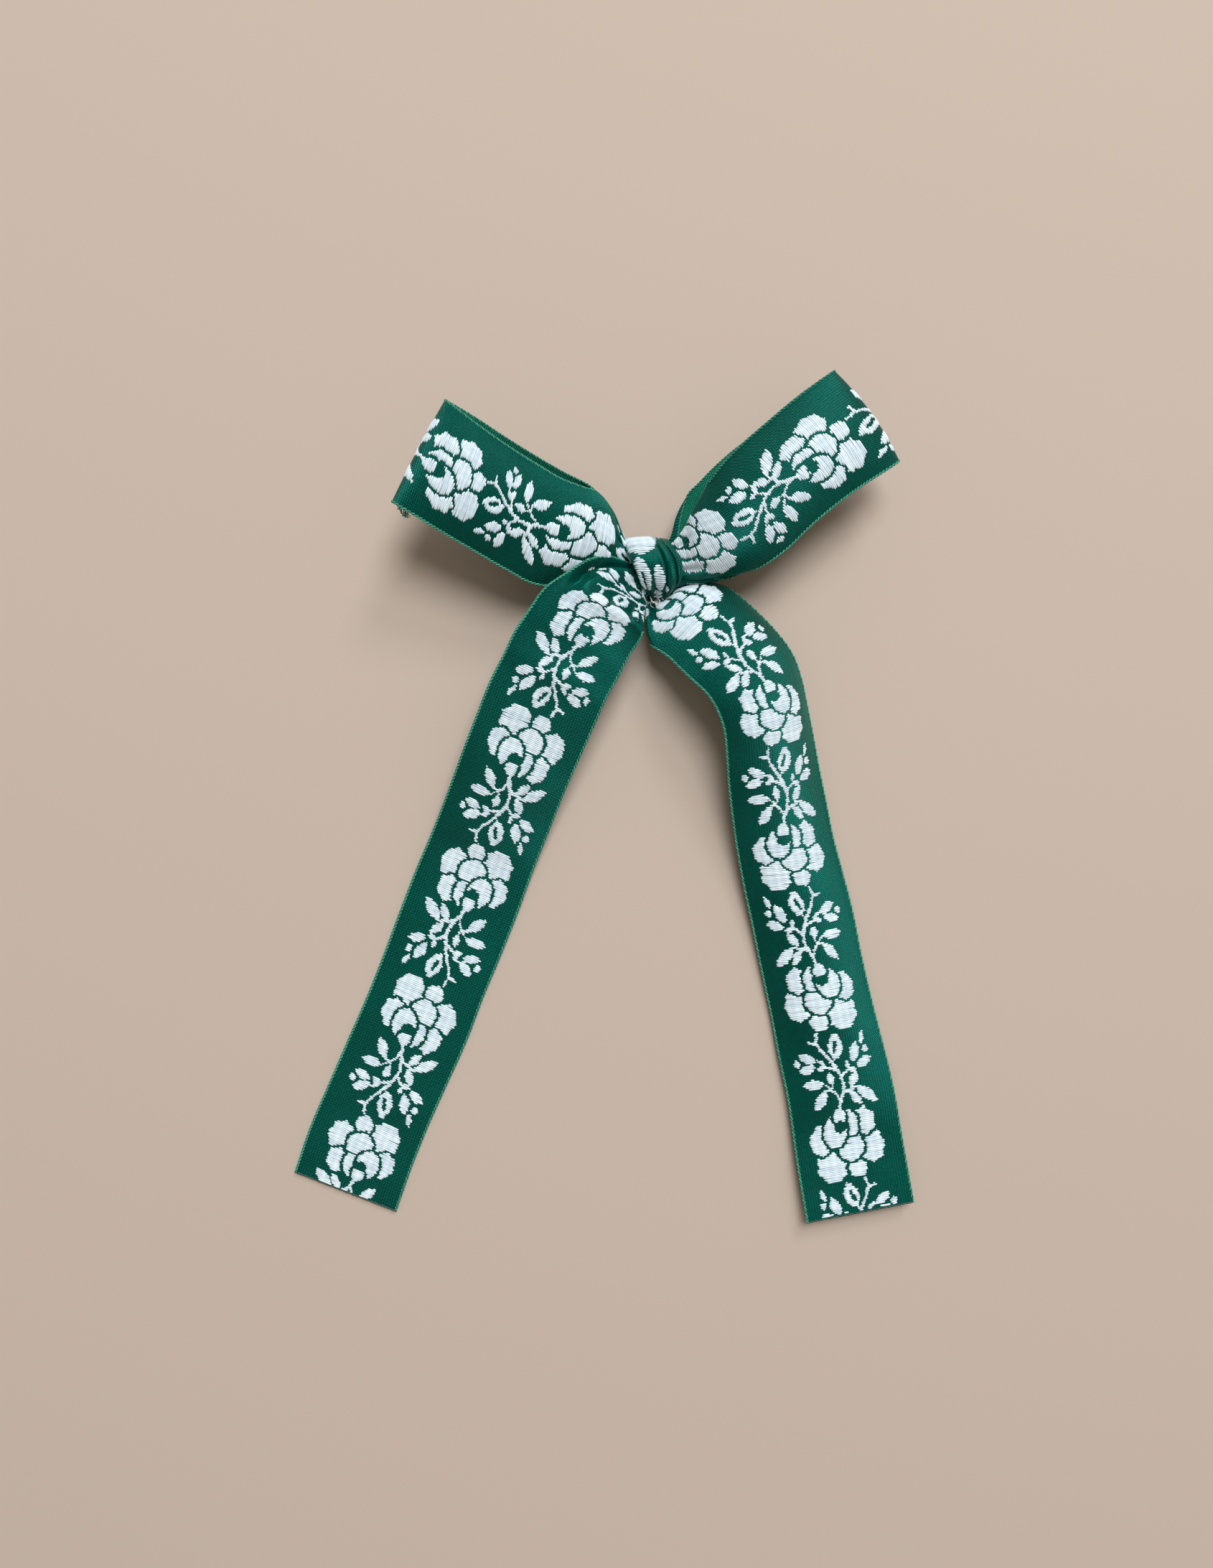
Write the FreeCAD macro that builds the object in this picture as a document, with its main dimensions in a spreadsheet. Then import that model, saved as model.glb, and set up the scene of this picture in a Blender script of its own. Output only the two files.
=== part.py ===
"""Tied gift bow of 25 mm woven ribbon, lying on its back.

Frame: origin at the centre of the back face under the knot, +Z away from the
surface that the bow lies on, +Y from the knot towards the loops, the tails
running towards -Y.  Millimetres.

Pieces: a wrap of ribbon closed round the pinched middle of the bow; the
gathered middle of the loops and of the tails inside it, bound with thread;
two loops; two tails; a foam adhesive pad on the back of the knot and its
release liner.
"""
import FreeCAD, Part

import math
import os

import Sketcher
from FreeCAD import Placement, Rotation, Vector

doc = FreeCAD.newDocument("gift_bow")

# ---------------------------------------------------------------- dimensions
sheet = doc.addObject("Spreadsheet::Sheet", "Dims")
DIMS = [
    ("ribbon_width", 25.0),
    ("ribbon_thickness", 0.6),
    ("wrap_length", 13.4),      # across the knot, along its bore
    ("wrap_depth", 15.0),       # up and down the bow
    ("wrap_height", 11.85),     # off the back face
    ("wrap_wall", 1.2),         # two plies
    ("wrap_turn", 12.0),        # degrees about Z
    ("wrap_crown_radius", 5.2),
    ("wrap_back_radius", 2.6),
    ("liner_thickness", 0.15),
    ("liner_side", 10.0),
    ("liner_tab", 2.6),
    ("pad_thickness", 1.0),
    ("pad_side", 9.0),
    ("pad_corner", 1.2),
    ("gather_width", 8.8),
    ("loop_gather_low", 6.2),
    ("loop_gather_height", 4.2),
    ("tail_gather_low", 3.4),
    ("tail_gather_height", 2.6),
    ("thread_diameter", 0.6),
    ("thread_turns", 4.0),
    ("thread_inner_width", 9.2),
    ("thread_inner_height", 7.4),
    ("hinge_gap", 0.45),
    ("left_loop_azimuth", 153.5),
    ("right_loop_azimuth", 35.5),
]
row = 1
for alias, value in DIMS:
    sheet.set("A%d" % row, alias)
    sheet.set("B%d" % row, repr(value))
    sheet.setAlias("B%d" % row, alias)
    row += 1

# Loop lines, from the fold line beside the knot out along the front layer,
# round the fold at the tip and back along the rear layer: (out from the knot,
# height, share of the ribbon's width).
LEFT_LOOP = [
    (20.5, 16.1, 0.87), (25.0, 18.8, 1.0), (32.0, 21.6, 1.0), (40.0, 22.8, 1.0),
    (48.0, 22.4, 1.0), (53.0, 21.3, 1.0), (54.4, 20.5, 1.0), (55.0, 19.6, 1.0),
    (54.8, 18.7, 1.0), (53.6, 18.0, 1.0), (48.0, 16.6, 1.0), (40.0, 14.0, 1.0),
    (32.0, 11.2, 1.0), (25.0, 8.7, 1.0), (20.5, 7.3, 0.87),
]
RIGHT_LOOP = [
    (20.5, 14.0, 0.87), (25.0, 15.5, 1.0), (33.0, 16.8, 1.0), (41.0, 17.0, 1.0),
    (49.0, 16.2, 1.0), (55.0, 14.9, 1.0), (56.7, 14.1, 1.0), (57.5, 13.2, 1.0),
    (57.3, 12.3, 1.0), (56.0, 11.6, 1.0), (50.0, 10.4, 1.0), (42.0, 8.6, 1.0),
    (33.0, 6.9, 1.0), (25.0, 5.9, 1.0), (20.5, 5.5, 0.87),
]
# Tail lines, from the fold line beside the knot to the cut end: the left and
# right selvedges of the ribbon's middle surface at each station.
LEFT_TAIL = [
    ((-30.9, -14.0, 14.6), (-8.0, -24.1, 13.0)),
    ((-33.1, -18.7, 14.2), (-10.3, -28.1, 13.0)),
    ((-35.7, -23.4, 13.4), (-12.4, -32.8, 12.0)),
    ((-39.8, -32.8, 11.2), (-16.8, -42.4, 9.4)),
    ((-42.8, -39.9, 9.0), (-20.1, -49.6, 7.0)),
    ((-45.8, -47.2, 6.4), (-23.1, -57.0, 4.4)),
    ((-49.9, -57.0, 3.4), (-27.2, -67.0, 2.2)),
    ((-54.4, -67.0, 1.6), (-30.9, -77.0, 1.1)),
    ((-62.2, -87.1, 0.6), (-39.1, -97.1, 0.6)),
    ((-70.6, -107.1, 0.5), (-47.4, -117.0, 0.5)),
    ((-79.2, -127.0, 0.5), (-55.9, -137.0, 0.5)),
    ((-82.7, -137.3, 0.6), (-59.2, -146.4, 0.6)),
]
RIGHT_TAIL = [
    ((3.0, -18.8, 11.0), (20.1, -5.7, 7.6)),
    ((5.5, -21.8, 13.0), (23.9, -9.4, 8.7)),
    ((8.4, -24.8, 14.8), (27.6, -13.3, 8.8)),
    ((11.4, -27.7, 15.6), (31.5, -18.3, 7.8)),
    ((13.6, -31.0, 15.4), (33.6, -23.6, 6.6)),
    ((15.3, -35.3, 14.4), (35.1, -29.5, 5.2)),
    ((16.1, -40.8, 12.6), (36.7, -36.3, 3.9)),
    ((16.8, -47.5, 10.2), (38.3, -43.9, 2.9)),
    ((17.9, -54.8, 7.8), (40.1, -51.8, 2.0)),
    ((19.1, -61.7, 5.6), (41.7, -59.3, 1.4)),
    ((20.9, -70.7, 3.8), (44.0, -67.6, 1.0)),
    ((23.0, -79.9, 2.5), (46.3, -76.2, 0.8)),
    ((25.3, -90.8, 1.6), (48.5, -87.1, 0.7)),
    ((29.3, -110.7, 1.5), (53.3, -107.0, 0.9)),
    ((33.2, -134.3, 2.8), (57.8, -129.8, 2.2)),
    ((35.4, -147.9, 3.9), (60.0, -143.3, 3.4)),
]


def add_table(tag, values):
    """Puts one strip's station positions in the sheet, one row to a station."""
    global row
    for i, (x, y, z, share) in enumerate(values):
        for j, (axis, number) in enumerate(zip("xyzw", (x, y, z, share))):
            cell = "%s%d" % ("BCDE"[j], row)
            sheet.set("A%d" % row, "%s station %d" % (tag, i))
            sheet.set(cell, "%.4f" % number)
            sheet.setAlias(cell, "%s_st%d_%s" % (tag, i, axis))
        row += 1


def value(alias):
    return float(sheet.get(alias))


def loop_frames(azimuth, line):
    """Centre, direction across the ribbon and width share of each station."""
    a = math.radians(azimuth)
    out, across = Vector(math.cos(a), math.sin(a), 0), Vector(-math.sin(a), math.cos(a), 0)
    return [(out * u + Vector(0, 0, z), across, share) for u, z, share in line]


def tail_frames(line, width):
    made = []
    for left, right in line:
        left, right = Vector(*left), Vector(*right)
        made.append(((left + right) * 0.5, (right - left).normalize(), (right - left).Length / width))
    return made


def section(name, centre, across, along, tag, i):
    """A rectangle across the ribbon: its width along `across`, its plane square to `along`."""
    sk = doc.addObject("Sketcher::SketchObject", name)
    w = value("ribbon_width") * value("%s_st%d_w" % (tag, i)) / 2
    t = value("ribbon_thickness") / 2
    p = [Vector(-w, -t, 0), Vector(w, -t, 0), Vector(w, t, 0), Vector(-w, t, 0)]
    sk.addGeometry([Part.LineSegment(p[k], p[(k + 1) % 4]) for k in range(4)], False)
    C = Sketcher.Constraint
    sk.addConstraint([C("Coincident", k, 2, (k + 1) % 4, 1) for k in range(4)])
    sk.addConstraint([C("Horizontal", 0), C("Vertical", 1), C("Horizontal", 2), C("Vertical", 3)])
    sk.addConstraint(C("Symmetric", 0, 1, 2, 1, -1, 1))
    a = sk.addConstraint(C("DistanceX", 0, 1, 0, 2, 2 * w))
    b = sk.addConstraint(C("DistanceY", 1, 1, 1, 2, 2 * t))
    sk.setExpression("Constraints[%d]" % a, "Dims.ribbon_width * Dims.%s_st%d_w" % (tag, i))
    sk.setExpression("Constraints[%d]" % b, "Dims.ribbon_thickness")
    up = along.cross(across).normalize()
    normal = across.cross(up).normalize()
    sk.Placement = Placement(centre, Rotation(across, up, normal, "ZXY"))
    for k, axis in enumerate("xyz"):
        sk.setExpression("Placement.Base.%s" % axis, "Dims.%s_st%d_%s" % (tag, i, axis))
    return sk


def strip(label, tag, frames):
    """A ribbon strip lofted through its stations."""
    add_table(tag, [(c.x, c.y, c.z, s) for c, _, s in frames])
    doc.recompute()
    sections = []
    for i, (c, across, _) in enumerate(frames):
        before = frames[max(i - 1, 0)][0]
        after = frames[min(i + 1, len(frames) - 1)][0]
        if 0 < i < len(frames) - 1:
            along = (c - before).normalize() + (after - c).normalize()
        else:
            along = after - before
        along = along - across * along.dot(across)
        sections.append(section("%s_s%d" % (tag, i), c, across, along.normalize(), tag, i))
    loft = doc.addObject("Part::Loft", label)
    loft.Sections = sections
    loft.Solid = True
    loft.Ruled = True
    loft.Closed = False
    loft.Label = label
    return loft


doc.recompute()
width = value("ribbon_width")
left_loop = strip("left_loop", "left_loop", loop_frames(value("left_loop_azimuth"), LEFT_LOOP))
right_loop = strip("right_loop", "right_loop", loop_frames(value("right_loop_azimuth"), RIGHT_LOOP))
left_tail = strip("left_tail", "left_tail", tail_frames(LEFT_TAIL, width))
right_tail = strip("right_tail", "right_tail", tail_frames(RIGHT_TAIL, width))


# ------------------------------------------------------------------ the knot
def box(name, lengths, low):
    """A box whose sides and corner are expressions on the sheet."""
    b = doc.addObject("Part::Box", name)
    for prop, text in zip(("Length", "Width", "Height"), lengths):
        b.setExpression(prop, text)
    for axis, text in zip("xyz", low):
        b.setExpression("Placement.Base.%s" % axis, text)
    return b


def rounded(name, base, radii):
    """Rounds the four edges along X: radii are (lower, upper)."""
    doc.recompute()
    f = doc.addObject("Part::Fillet", name)
    f.Base = base
    edges = []
    middle = base.Shape.BoundBox.Center.z
    for i, e in enumerate(base.Shape.Edges, 1):
        d = (e.Vertexes[1].Point - e.Vertexes[0].Point)
        if abs(d.x) > 0.99 * d.Length:
            r = radii[0] if e.CenterOfMass.z < middle else radii[1]
            edges.append((i, r, r))
    f.Edges = edges
    return f


def ring(name, length, outer, inner, low, wall, x0, outer_radii, inner_radii):
    """A closed band about the X axis: outer and inner are (width, height) texts."""
    o = rounded(name + "_outside", box(name + "_outer", (length, outer[0], outer[1]), (x0, "-(%s) / 2" % outer[0], low)), outer_radii)
    i = rounded(
        name + "_inside",
        box(name + "_inner", ("%s + 2" % length, inner[0], inner[1]), ("%s - 1" % x0, "-(%s) / 2" % inner[0], "%s + %s" % (low, wall))),
        inner_radii,
    )
    cut = doc.addObject("Part::Cut", name)
    cut.Base, cut.Tool = o, i
    return cut


back = "Dims.liner_thickness + Dims.pad_thickness"
crown, rear, wall = value("wrap_crown_radius"), value("wrap_back_radius"), value("wrap_wall")
wrap = ring(
    "knot_wrap",
    "Dims.wrap_length",
    ("Dims.wrap_depth", "Dims.wrap_height"),
    ("Dims.wrap_depth - 2 * Dims.wrap_wall", "Dims.wrap_height - 2 * Dims.wrap_wall"),
    back,
    "Dims.wrap_wall",
    "-(Dims.wrap_length) / 2",
    (rear, crown),
    (rear - wall, crown - wall),
)
wrap.Label = "knot_wrap"
wrap.Placement = Placement(Vector(), Rotation(Vector(0, 0, 1), value("wrap_turn")))

turns = int(value("thread_turns"))
rings = []
for k in range(turns):
    t = "Dims.thread_diameter"
    r = ring(
        "thread_turn_%d" % k,
        "%s * 0.98" % t,
        ("(Dims.thread_inner_width + 2 * %s)" % t, "Dims.thread_inner_height + 2 * %s" % t),
        ("Dims.thread_inner_width", "Dims.thread_inner_height"),
        "Dims.tail_gather_low - 0.2 - %s" % t,
        t,
        "(%d - Dims.thread_turns / 2) * %s" % (k, t),
        (1.8, 1.8),
        (1.2, 1.2),
    )
    rings.append(r)
thread = doc.addObject("Part::Compound", "binding_thread")
thread.Links = rings
thread.Placement = Placement(Vector(), Rotation(Vector(0, 0, 1), value("wrap_turn")))
thread.Label = "binding_thread"


def block(label, tag, frames):
    """The gathered middle of a ribbon: a loft through eight-sided sections.

    Each frame is (centre, across the ribbon, along the ribbon, width, depth).
    """
    made = []
    for i, (c, across, along, w, h) in enumerate(frames):
        sk = doc.addObject("Sketcher::SketchObject", "%s_g%d" % (tag, i))
        x, y = w / 2, h / 2
        n = 0.35
        p = [
            Vector(-x, -y * n, 0), Vector(-x + y, -y, 0), Vector(x - y, -y, 0), Vector(x, -y * n, 0),
            Vector(x, y * n, 0), Vector(x - y, y, 0), Vector(-x + y, y, 0), Vector(-x, y * n, 0),
        ]
        sk.addGeometry([Part.LineSegment(p[k], p[(k + 1) % 8]) for k in range(8)], False)
        C = Sketcher.Constraint
        sk.addConstraint([C("Coincident", k, 2, (k + 1) % 8, 1) for k in range(8)])
        sk.addConstraint([C("Horizontal", 1), C("Horizontal", 5), C("Vertical", 3), C("Vertical", 7)])
        across = across.normalize()
        along = (along - across * along.dot(across)).normalize()
        up = along.cross(across).normalize()
        sk.Placement = Placement(c, Rotation(across, up, across.cross(up), "ZXY"))
        made.append(sk)
    loft = doc.addObject("Part::Loft", label)
    loft.Sections, loft.Solid, loft.Ruled, loft.Closed = made, True, True, False
    loft.Label = label
    return loft


turn = math.radians(value("wrap_turn"))
bore, depth = Vector(math.cos(turn), math.sin(turn), 0), Vector(-math.sin(turn), math.cos(turn), 0)


def in_wrap(x, y, z):
    """A point given along and across the wrap's bore."""
    return bore * x + depth * y + Vector(0, 0, z)


def outward(azimuth):
    a = math.radians(azimuth)
    return Vector(math.cos(a), math.sin(a), 0), Vector(-math.sin(a), math.cos(a), 0)


gw, gap = value("gather_width"), value("hinge_gap")
lz, lh = value("loop_gather_low") + value("loop_gather_height") / 2, value("loop_gather_height")
tz, th = value("tail_gather_low") + value("tail_gather_height") / 2, value("tail_gather_height")
lo, lx = outward(value("left_loop_azimuth"))
ro, rx = outward(value("right_loop_azimuth"))
up = Vector(0, 0, 1)

# From the left loop's fold line, through the wrap, to the right loop's.
loop_gather = block(
    "loop_gather",
    "loop_gather",
    [
        (lo * (20.5 - gap) + up * 11.6, lx, -lo, 18.6, 2.6),
        (lo * 15.2 + up * 10.2, lx, -lo, 12.4, 3.6),
        (lo * 12.4 + up * 9.2, lx, -lo, 7.4, 3.8),
        (in_wrap(-7.5, 0.8, 8.3), -depth * 0.9 + lx * 0.3, bore, 7.2, lh * 0.9),
        (in_wrap(0, 0, lz), -depth, bore, gw, lh),
        (in_wrap(7.5, 0.8, 8.2), -depth * 0.9 - rx * 0.3, bore, 7.2, lh * 0.9),
        (ro * 12.0 + up * 8.4, -rx, ro, 7.6, 3.8),
        (ro * 15.2 + up * 9.0, -rx, ro, 12.4, 3.6),
        (ro * (20.5 - gap) + up * 9.8, -rx, ro, 18.6, 2.6),
    ],
)


def tail_root(line, back):
    """Centre, across and along of a tail's section at its fold line, moved back towards the knot."""
    (l0, r0), (l1, r1) = line[0], line[1]
    l0, r0, l1, r1 = Vector(*l0), Vector(*r0), Vector(*l1), Vector(*r1)
    c0, c1 = (l0 + r0) * 0.5, (l1 + r1) * 0.5
    across = (r0 - l0).normalize()
    along = c1 - c0
    along = (along - across * along.dot(across)).normalize()
    return c0 - along * back, across, along, (r0 - l0).Length


lc, la, ld, lw = tail_root(LEFT_TAIL, 2 * gap)
rc, ra, rd, rw = tail_root(RIGHT_TAIL, 2 * gap)
# From the left tail's fold line, up into the wrap, and down to the right tail's.
tail_gather = block(
    "tail_gather",
    "tail_gather",
    [
        (lc, la, -ld, lw - 0.4, 0.7),
        (Vector(-13.8, -10.6, 12.7), Vector(21.0, -10.7, -2.6), Vector(0.45, 0.8, -0.35), 21.6, 0.8),
        (Vector(-10.6, -8.8, 8.6), Vector(9.0, -6.6, -0.6), Vector(0.45, 0.4, -0.8), 12.6, 1.1),
        (Vector(-9.1, -7.7, 5.4), Vector(7.3, -5.8, -0.2), Vector(0.62, 0.78, 0), 9.6, 1.4),
        (in_wrap(-7.1, -1.4, tz), -depth, bore, 7.0, th * 0.8),
        (in_wrap(0, 0, tz), -depth, bore, gw * 0.9, th),
        (in_wrap(7.1, -1.2, tz), -depth, bore, 7.0, th * 0.8),
        (in_wrap(10.2, -4.4, 5.4), -depth - bore, bore - depth, 7.2, 1.6),
        (Vector(11.8, -8.8, 8.0), Vector(-0.86, -0.51, 0.02), Vector(0.2, -1, 0.4), 13.0, 1.0),
        (rc, -ra, rd, rw - 0.4, 0.7),
    ],
)

# ------------------------------------------------------------------ the back
def body(label):
    b = doc.addObject("PartDesign::Body", label)
    b.Label = label
    return b


def on_xy(b, name):
    sk = b.newObject("Sketcher::SketchObject", name)
    plane = [f for f in b.Origin.OriginFeatures if f.Role == "XY_Plane"][0]
    sk.AttachmentSupport = [(plane, "")]
    sk.MapMode = "FlatFace"
    return sk


def rectangle(sk, wide, tall, y_mid=0.0):
    """A rectangle about the Y axis whose sides follow the sheet."""
    C = Sketcher.Constraint
    p = [Vector(-1, -1 + y_mid, 0), Vector(1, -1 + y_mid, 0), Vector(1, 1 + y_mid, 0), Vector(-1, 1 + y_mid, 0)]
    sk.addGeometry([Part.LineSegment(p[k], p[(k + 1) % 4]) for k in range(4)], False)
    sk.addConstraint([C("Coincident", k, 2, (k + 1) % 4, 1) for k in range(4)])
    sk.addConstraint([C("Horizontal", 0), C("Vertical", 1), C("Horizontal", 2), C("Vertical", 3)])
    sk.addConstraint(C("Symmetric", 0, 1, 2, 1, -1, 1))
    a = sk.addConstraint(C("DistanceX", 0, 1, 0, 2, 2.0))
    b = sk.addConstraint(C("DistanceY", 1, 1, 1, 2, 2.0))
    sk.setExpression("Constraints[%d]" % a, wide)
    sk.setExpression("Constraints[%d]" % b, tall)


pad = body("adhesive_pad")
sk = on_xy(pad, "pad_outline")
rectangle(sk, "Dims.pad_side", "Dims.pad_side")
f = pad.newObject("PartDesign::Pad", "pad_foam")
f.Profile = sk
f.setExpression("Length", "Dims.pad_thickness")
doc.recompute()
e = pad.newObject("PartDesign::Fillet", "pad_corners")
e.Base = (f, ["Edge%d" % i for i, x in enumerate(f.Shape.Edges, 1) if abs(x.tangentAt(x.FirstParameter).z) > 0.99])
e.setExpression("Radius", "Dims.pad_corner")
pad.setExpression("Placement.Base.z", "Dims.liner_thickness")

liner = body("release_liner")
sk = on_xy(liner, "liner_outline")
rectangle(sk, "Dims.liner_side", "Dims.liner_side")
f = liner.newObject("PartDesign::Pad", "liner_sheet")
f.Profile = sk
f.setExpression("Length", "Dims.liner_thickness")
doc.recompute()
tab = on_xy(liner, "liner_tab_outline")
C = Sketcher.Constraint
s = value("liner_side") / 2
tb = value("liner_tab")
q = [Vector(2.4, -s + 0.5, 0), Vector(2.4, -s, 0), Vector(-2.4, -s, 0), Vector(-2.4, -s + 0.5, 0)]
tab.addGeometry(
    [
        Part.LineSegment(q[0], q[1]),
        Part.Arc(q[1], Vector(0, -s - tb, 0), q[2]),
        Part.LineSegment(q[2], q[3]),
        Part.LineSegment(q[3], q[0]),
    ],
    False,
)
g = liner.newObject("PartDesign::Pad", "liner_pull_tab")
g.Profile = tab
g.setExpression("Length", "Dims.liner_thickness")
liner.Tip = g

doc.recompute()

NODES = {
    "knot_wrap": wrap,
    "loop_gather": loop_gather,
    "tail_gather": tail_gather,
    "binding_thread": thread,
    "left_loop": left_loop,
    "right_loop": right_loop,
    "left_tail": left_tail,
    "right_tail": right_tail,
    "adhesive_pad": pad,
    "release_liner": liner,
}

for obj in doc.Objects:
    if "Invalid" in obj.State or "Error" in obj.State:
        raise RuntimeError("%s failed: %s" % (obj.Name, obj.State))
os.makedirs("parts", exist_ok=True)
for node, obj in NODES.items():
    shape = obj.Shape
    if shape.isNull() or not shape.isValid() or not shape.Solids:
        raise RuntimeError("%s has no valid solid" % node)
    for solid in shape.Solids:
        if solid.Volume <= 0:
            raise RuntimeError("%s has a solid with no volume" % node)
    bb = shape.BoundBox
    print("%-16s solids %d volume %8.1f  x %.1f..%.1f y %.1f..%.1f z %.2f..%.2f" % (
        node, len(shape.Solids), shape.Volume, bb.XMin, bb.XMax, bb.YMin, bb.YMax, bb.ZMin, bb.ZMax))
    shape.exportStep("parts/%s.step" % node)
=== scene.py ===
"""Looks of the tied ribbon bow: woven strips, raised floss flowers, selvedges, knot and back pad.

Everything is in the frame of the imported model. Tables are in millimetres.
"""

import math

import bpy
import numpy as np
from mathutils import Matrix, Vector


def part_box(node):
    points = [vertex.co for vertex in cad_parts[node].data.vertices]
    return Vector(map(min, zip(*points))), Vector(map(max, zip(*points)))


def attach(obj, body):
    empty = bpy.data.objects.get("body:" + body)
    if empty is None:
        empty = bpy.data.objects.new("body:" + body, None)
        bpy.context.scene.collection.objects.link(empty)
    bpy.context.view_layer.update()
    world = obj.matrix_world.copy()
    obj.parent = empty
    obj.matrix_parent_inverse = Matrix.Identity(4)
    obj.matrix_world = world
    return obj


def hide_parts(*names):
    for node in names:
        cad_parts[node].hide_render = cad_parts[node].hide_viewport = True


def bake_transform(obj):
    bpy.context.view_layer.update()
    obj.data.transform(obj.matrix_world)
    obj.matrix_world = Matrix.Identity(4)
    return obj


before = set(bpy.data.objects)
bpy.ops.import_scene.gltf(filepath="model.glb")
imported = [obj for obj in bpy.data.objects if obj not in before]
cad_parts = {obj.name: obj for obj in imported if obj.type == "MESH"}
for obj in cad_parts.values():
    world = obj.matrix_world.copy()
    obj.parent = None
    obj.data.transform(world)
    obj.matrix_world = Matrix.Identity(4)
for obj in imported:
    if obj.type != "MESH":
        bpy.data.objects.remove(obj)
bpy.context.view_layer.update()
MM = 0.001
rng = np.random.default_rng(20)

# Each ribbon leg as sections across it: the side where v = -12.5, the side
# where v = +12.5, and how far along the ribbon it is (u). The face is on the
# side of (along x across).
LEFT_TAIL = [
    ((-0.7, 0.1, 6.0), (0.6, -1.4, 5.6), -31.5),
    ((-2.9, 0.3, 7.6), (-1.1, -3.2, 6.6), -26.6),
    ((-4.2, 1.3, 8.6), (-1.4, -4.8, 7.2), -24.7),
    ((-7.1, 2.4, 10.4), (-1.9, -7.2, 8.2), -21.1),
    ((-10.5, 2.8, 12.4), (-2.5, -9.7, 9.4), -17.2),
    ((-14.1, 2.1, 13.8), (-2.6, -11.5, 10.2), -13.2),
    ((-19.2, -0.9, 14.4), (-2.6, -13.2, 10.9), -7.3),
    ((-24.4, -4.5, 14.6), (-2.8, -15.1, 11.5), -0.9),
    ((-27.7, -9.3, 14.6), (-5.4, -19.0, 12.4), 4.9),
    ((-30.9, -14.0, 14.6), (-8.0, -24.1, 13.0), 10.8),
    ((-33.1, -18.7, 14.2), (-10.3, -28.1, 13.0), 16.2),
    ((-35.7, -23.4, 13.4), (-12.4, -32.8, 12.0), 21.8),
    ((-39.8, -32.8, 11.2), (-16.8, -42.4, 9.4), 33.0),
    ((-42.8, -39.9, 9.0), (-20.1, -49.6, 7.0), 41.2),
    ((-45.8, -47.2, 6.4), (-23.1, -57.0, 4.4), 49.5),
    ((-49.9, -57.0, 3.4), (-27.2, -67.0, 2.2), 60.6),
    ((-54.4, -67.0, 1.6), (-30.9, -77.0, 1.1), 71.5),
    ((-58.4, -77.1, 0.9), (-34.9, -87.1, 0.7), 82.1),
    ((-62.2, -87.1, 0.6), (-39.1, -97.1, 0.6), 92.7),
    ((-66.2, -97.1, 0.5), (-42.9, -107.1, 0.5), 103.3),
    ((-70.6, -107.1, 0.5), (-47.4, -117.0, 0.5), 114.1),
    ((-74.9, -117.0, 0.5), (-51.9, -127.0, 0.5), 125.0),
    ((-79.2, -127.0, 0.5), (-55.9, -137.0, 0.5), 136.0),
    ((-82.7, -137.3, 0.6), (-59.2, -146.4, 0.6), 147.6),
]
RIGHT_TAIL = [
    ((60.0, -143.3, 3.4), (35.4, -147.9, 3.9), -16.2),
    ((57.8, -129.8, 2.2), (33.2, -134.3, 2.8), -1.6),
    ((55.5, -116.0, 1.3), (31.2, -119.7, 1.9), 12.0),
    ((53.3, -107.0, 0.9), (29.3, -110.7, 1.5), 21.3),
    ((50.9, -97.5, 0.7), (27.7, -101.8, 1.3), 30.6),
    ((48.5, -87.1, 0.7), (25.3, -90.8, 1.6), 41.6),
    ((46.3, -76.2, 0.8), (23.0, -79.9, 2.5), 52.5),
    ((44.0, -67.6, 1.0), (20.9, -70.7, 3.8), 61.8),
    ((41.7, -59.3, 1.4), (19.1, -61.7, 5.6), 71.0),
    ((40.1, -51.8, 2.0), (17.9, -54.8, 7.8), 78.5),
    ((38.3, -43.9, 2.9), (16.8, -47.5, 10.2), 86.0),
    ((36.7, -36.3, 3.9), (16.1, -40.8, 12.6), 93.6),
    ((35.1, -29.5, 5.2), (15.3, -35.3, 14.4), 101.0),
    ((33.6, -23.6, 6.6), (13.6, -31.0, 15.4), 107.2),
    ((31.5, -18.3, 7.8), (11.4, -27.7, 15.6), 113.0),
    ((27.6, -13.3, 8.8), (8.4, -24.8, 14.8), 119.4),
    ((23.9, -9.4, 8.7), (5.5, -21.8, 13.0), 124.8),
    ((20.1, -5.7, 7.6), (3.0, -18.8, 11.0), 130.2),
    ((16.1, -2.5, 6.0), (0.1, -16.2, 9.0), 135.6),
    ((11.6, -1.5, 5.0), (-1.1, -12.8, 7.4), 140.3),
    ((6.7, -2.1, 4.4), (-1.2, -8.9, 6.2), 145.2),
    ((2.6, -1.5, 4.2), (-1.0, -5.5, 5.4), 149.3),
    ((0.5, -0.5, 3.9), (-1.0, -1.6, 4.4), 154.0),
]
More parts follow.
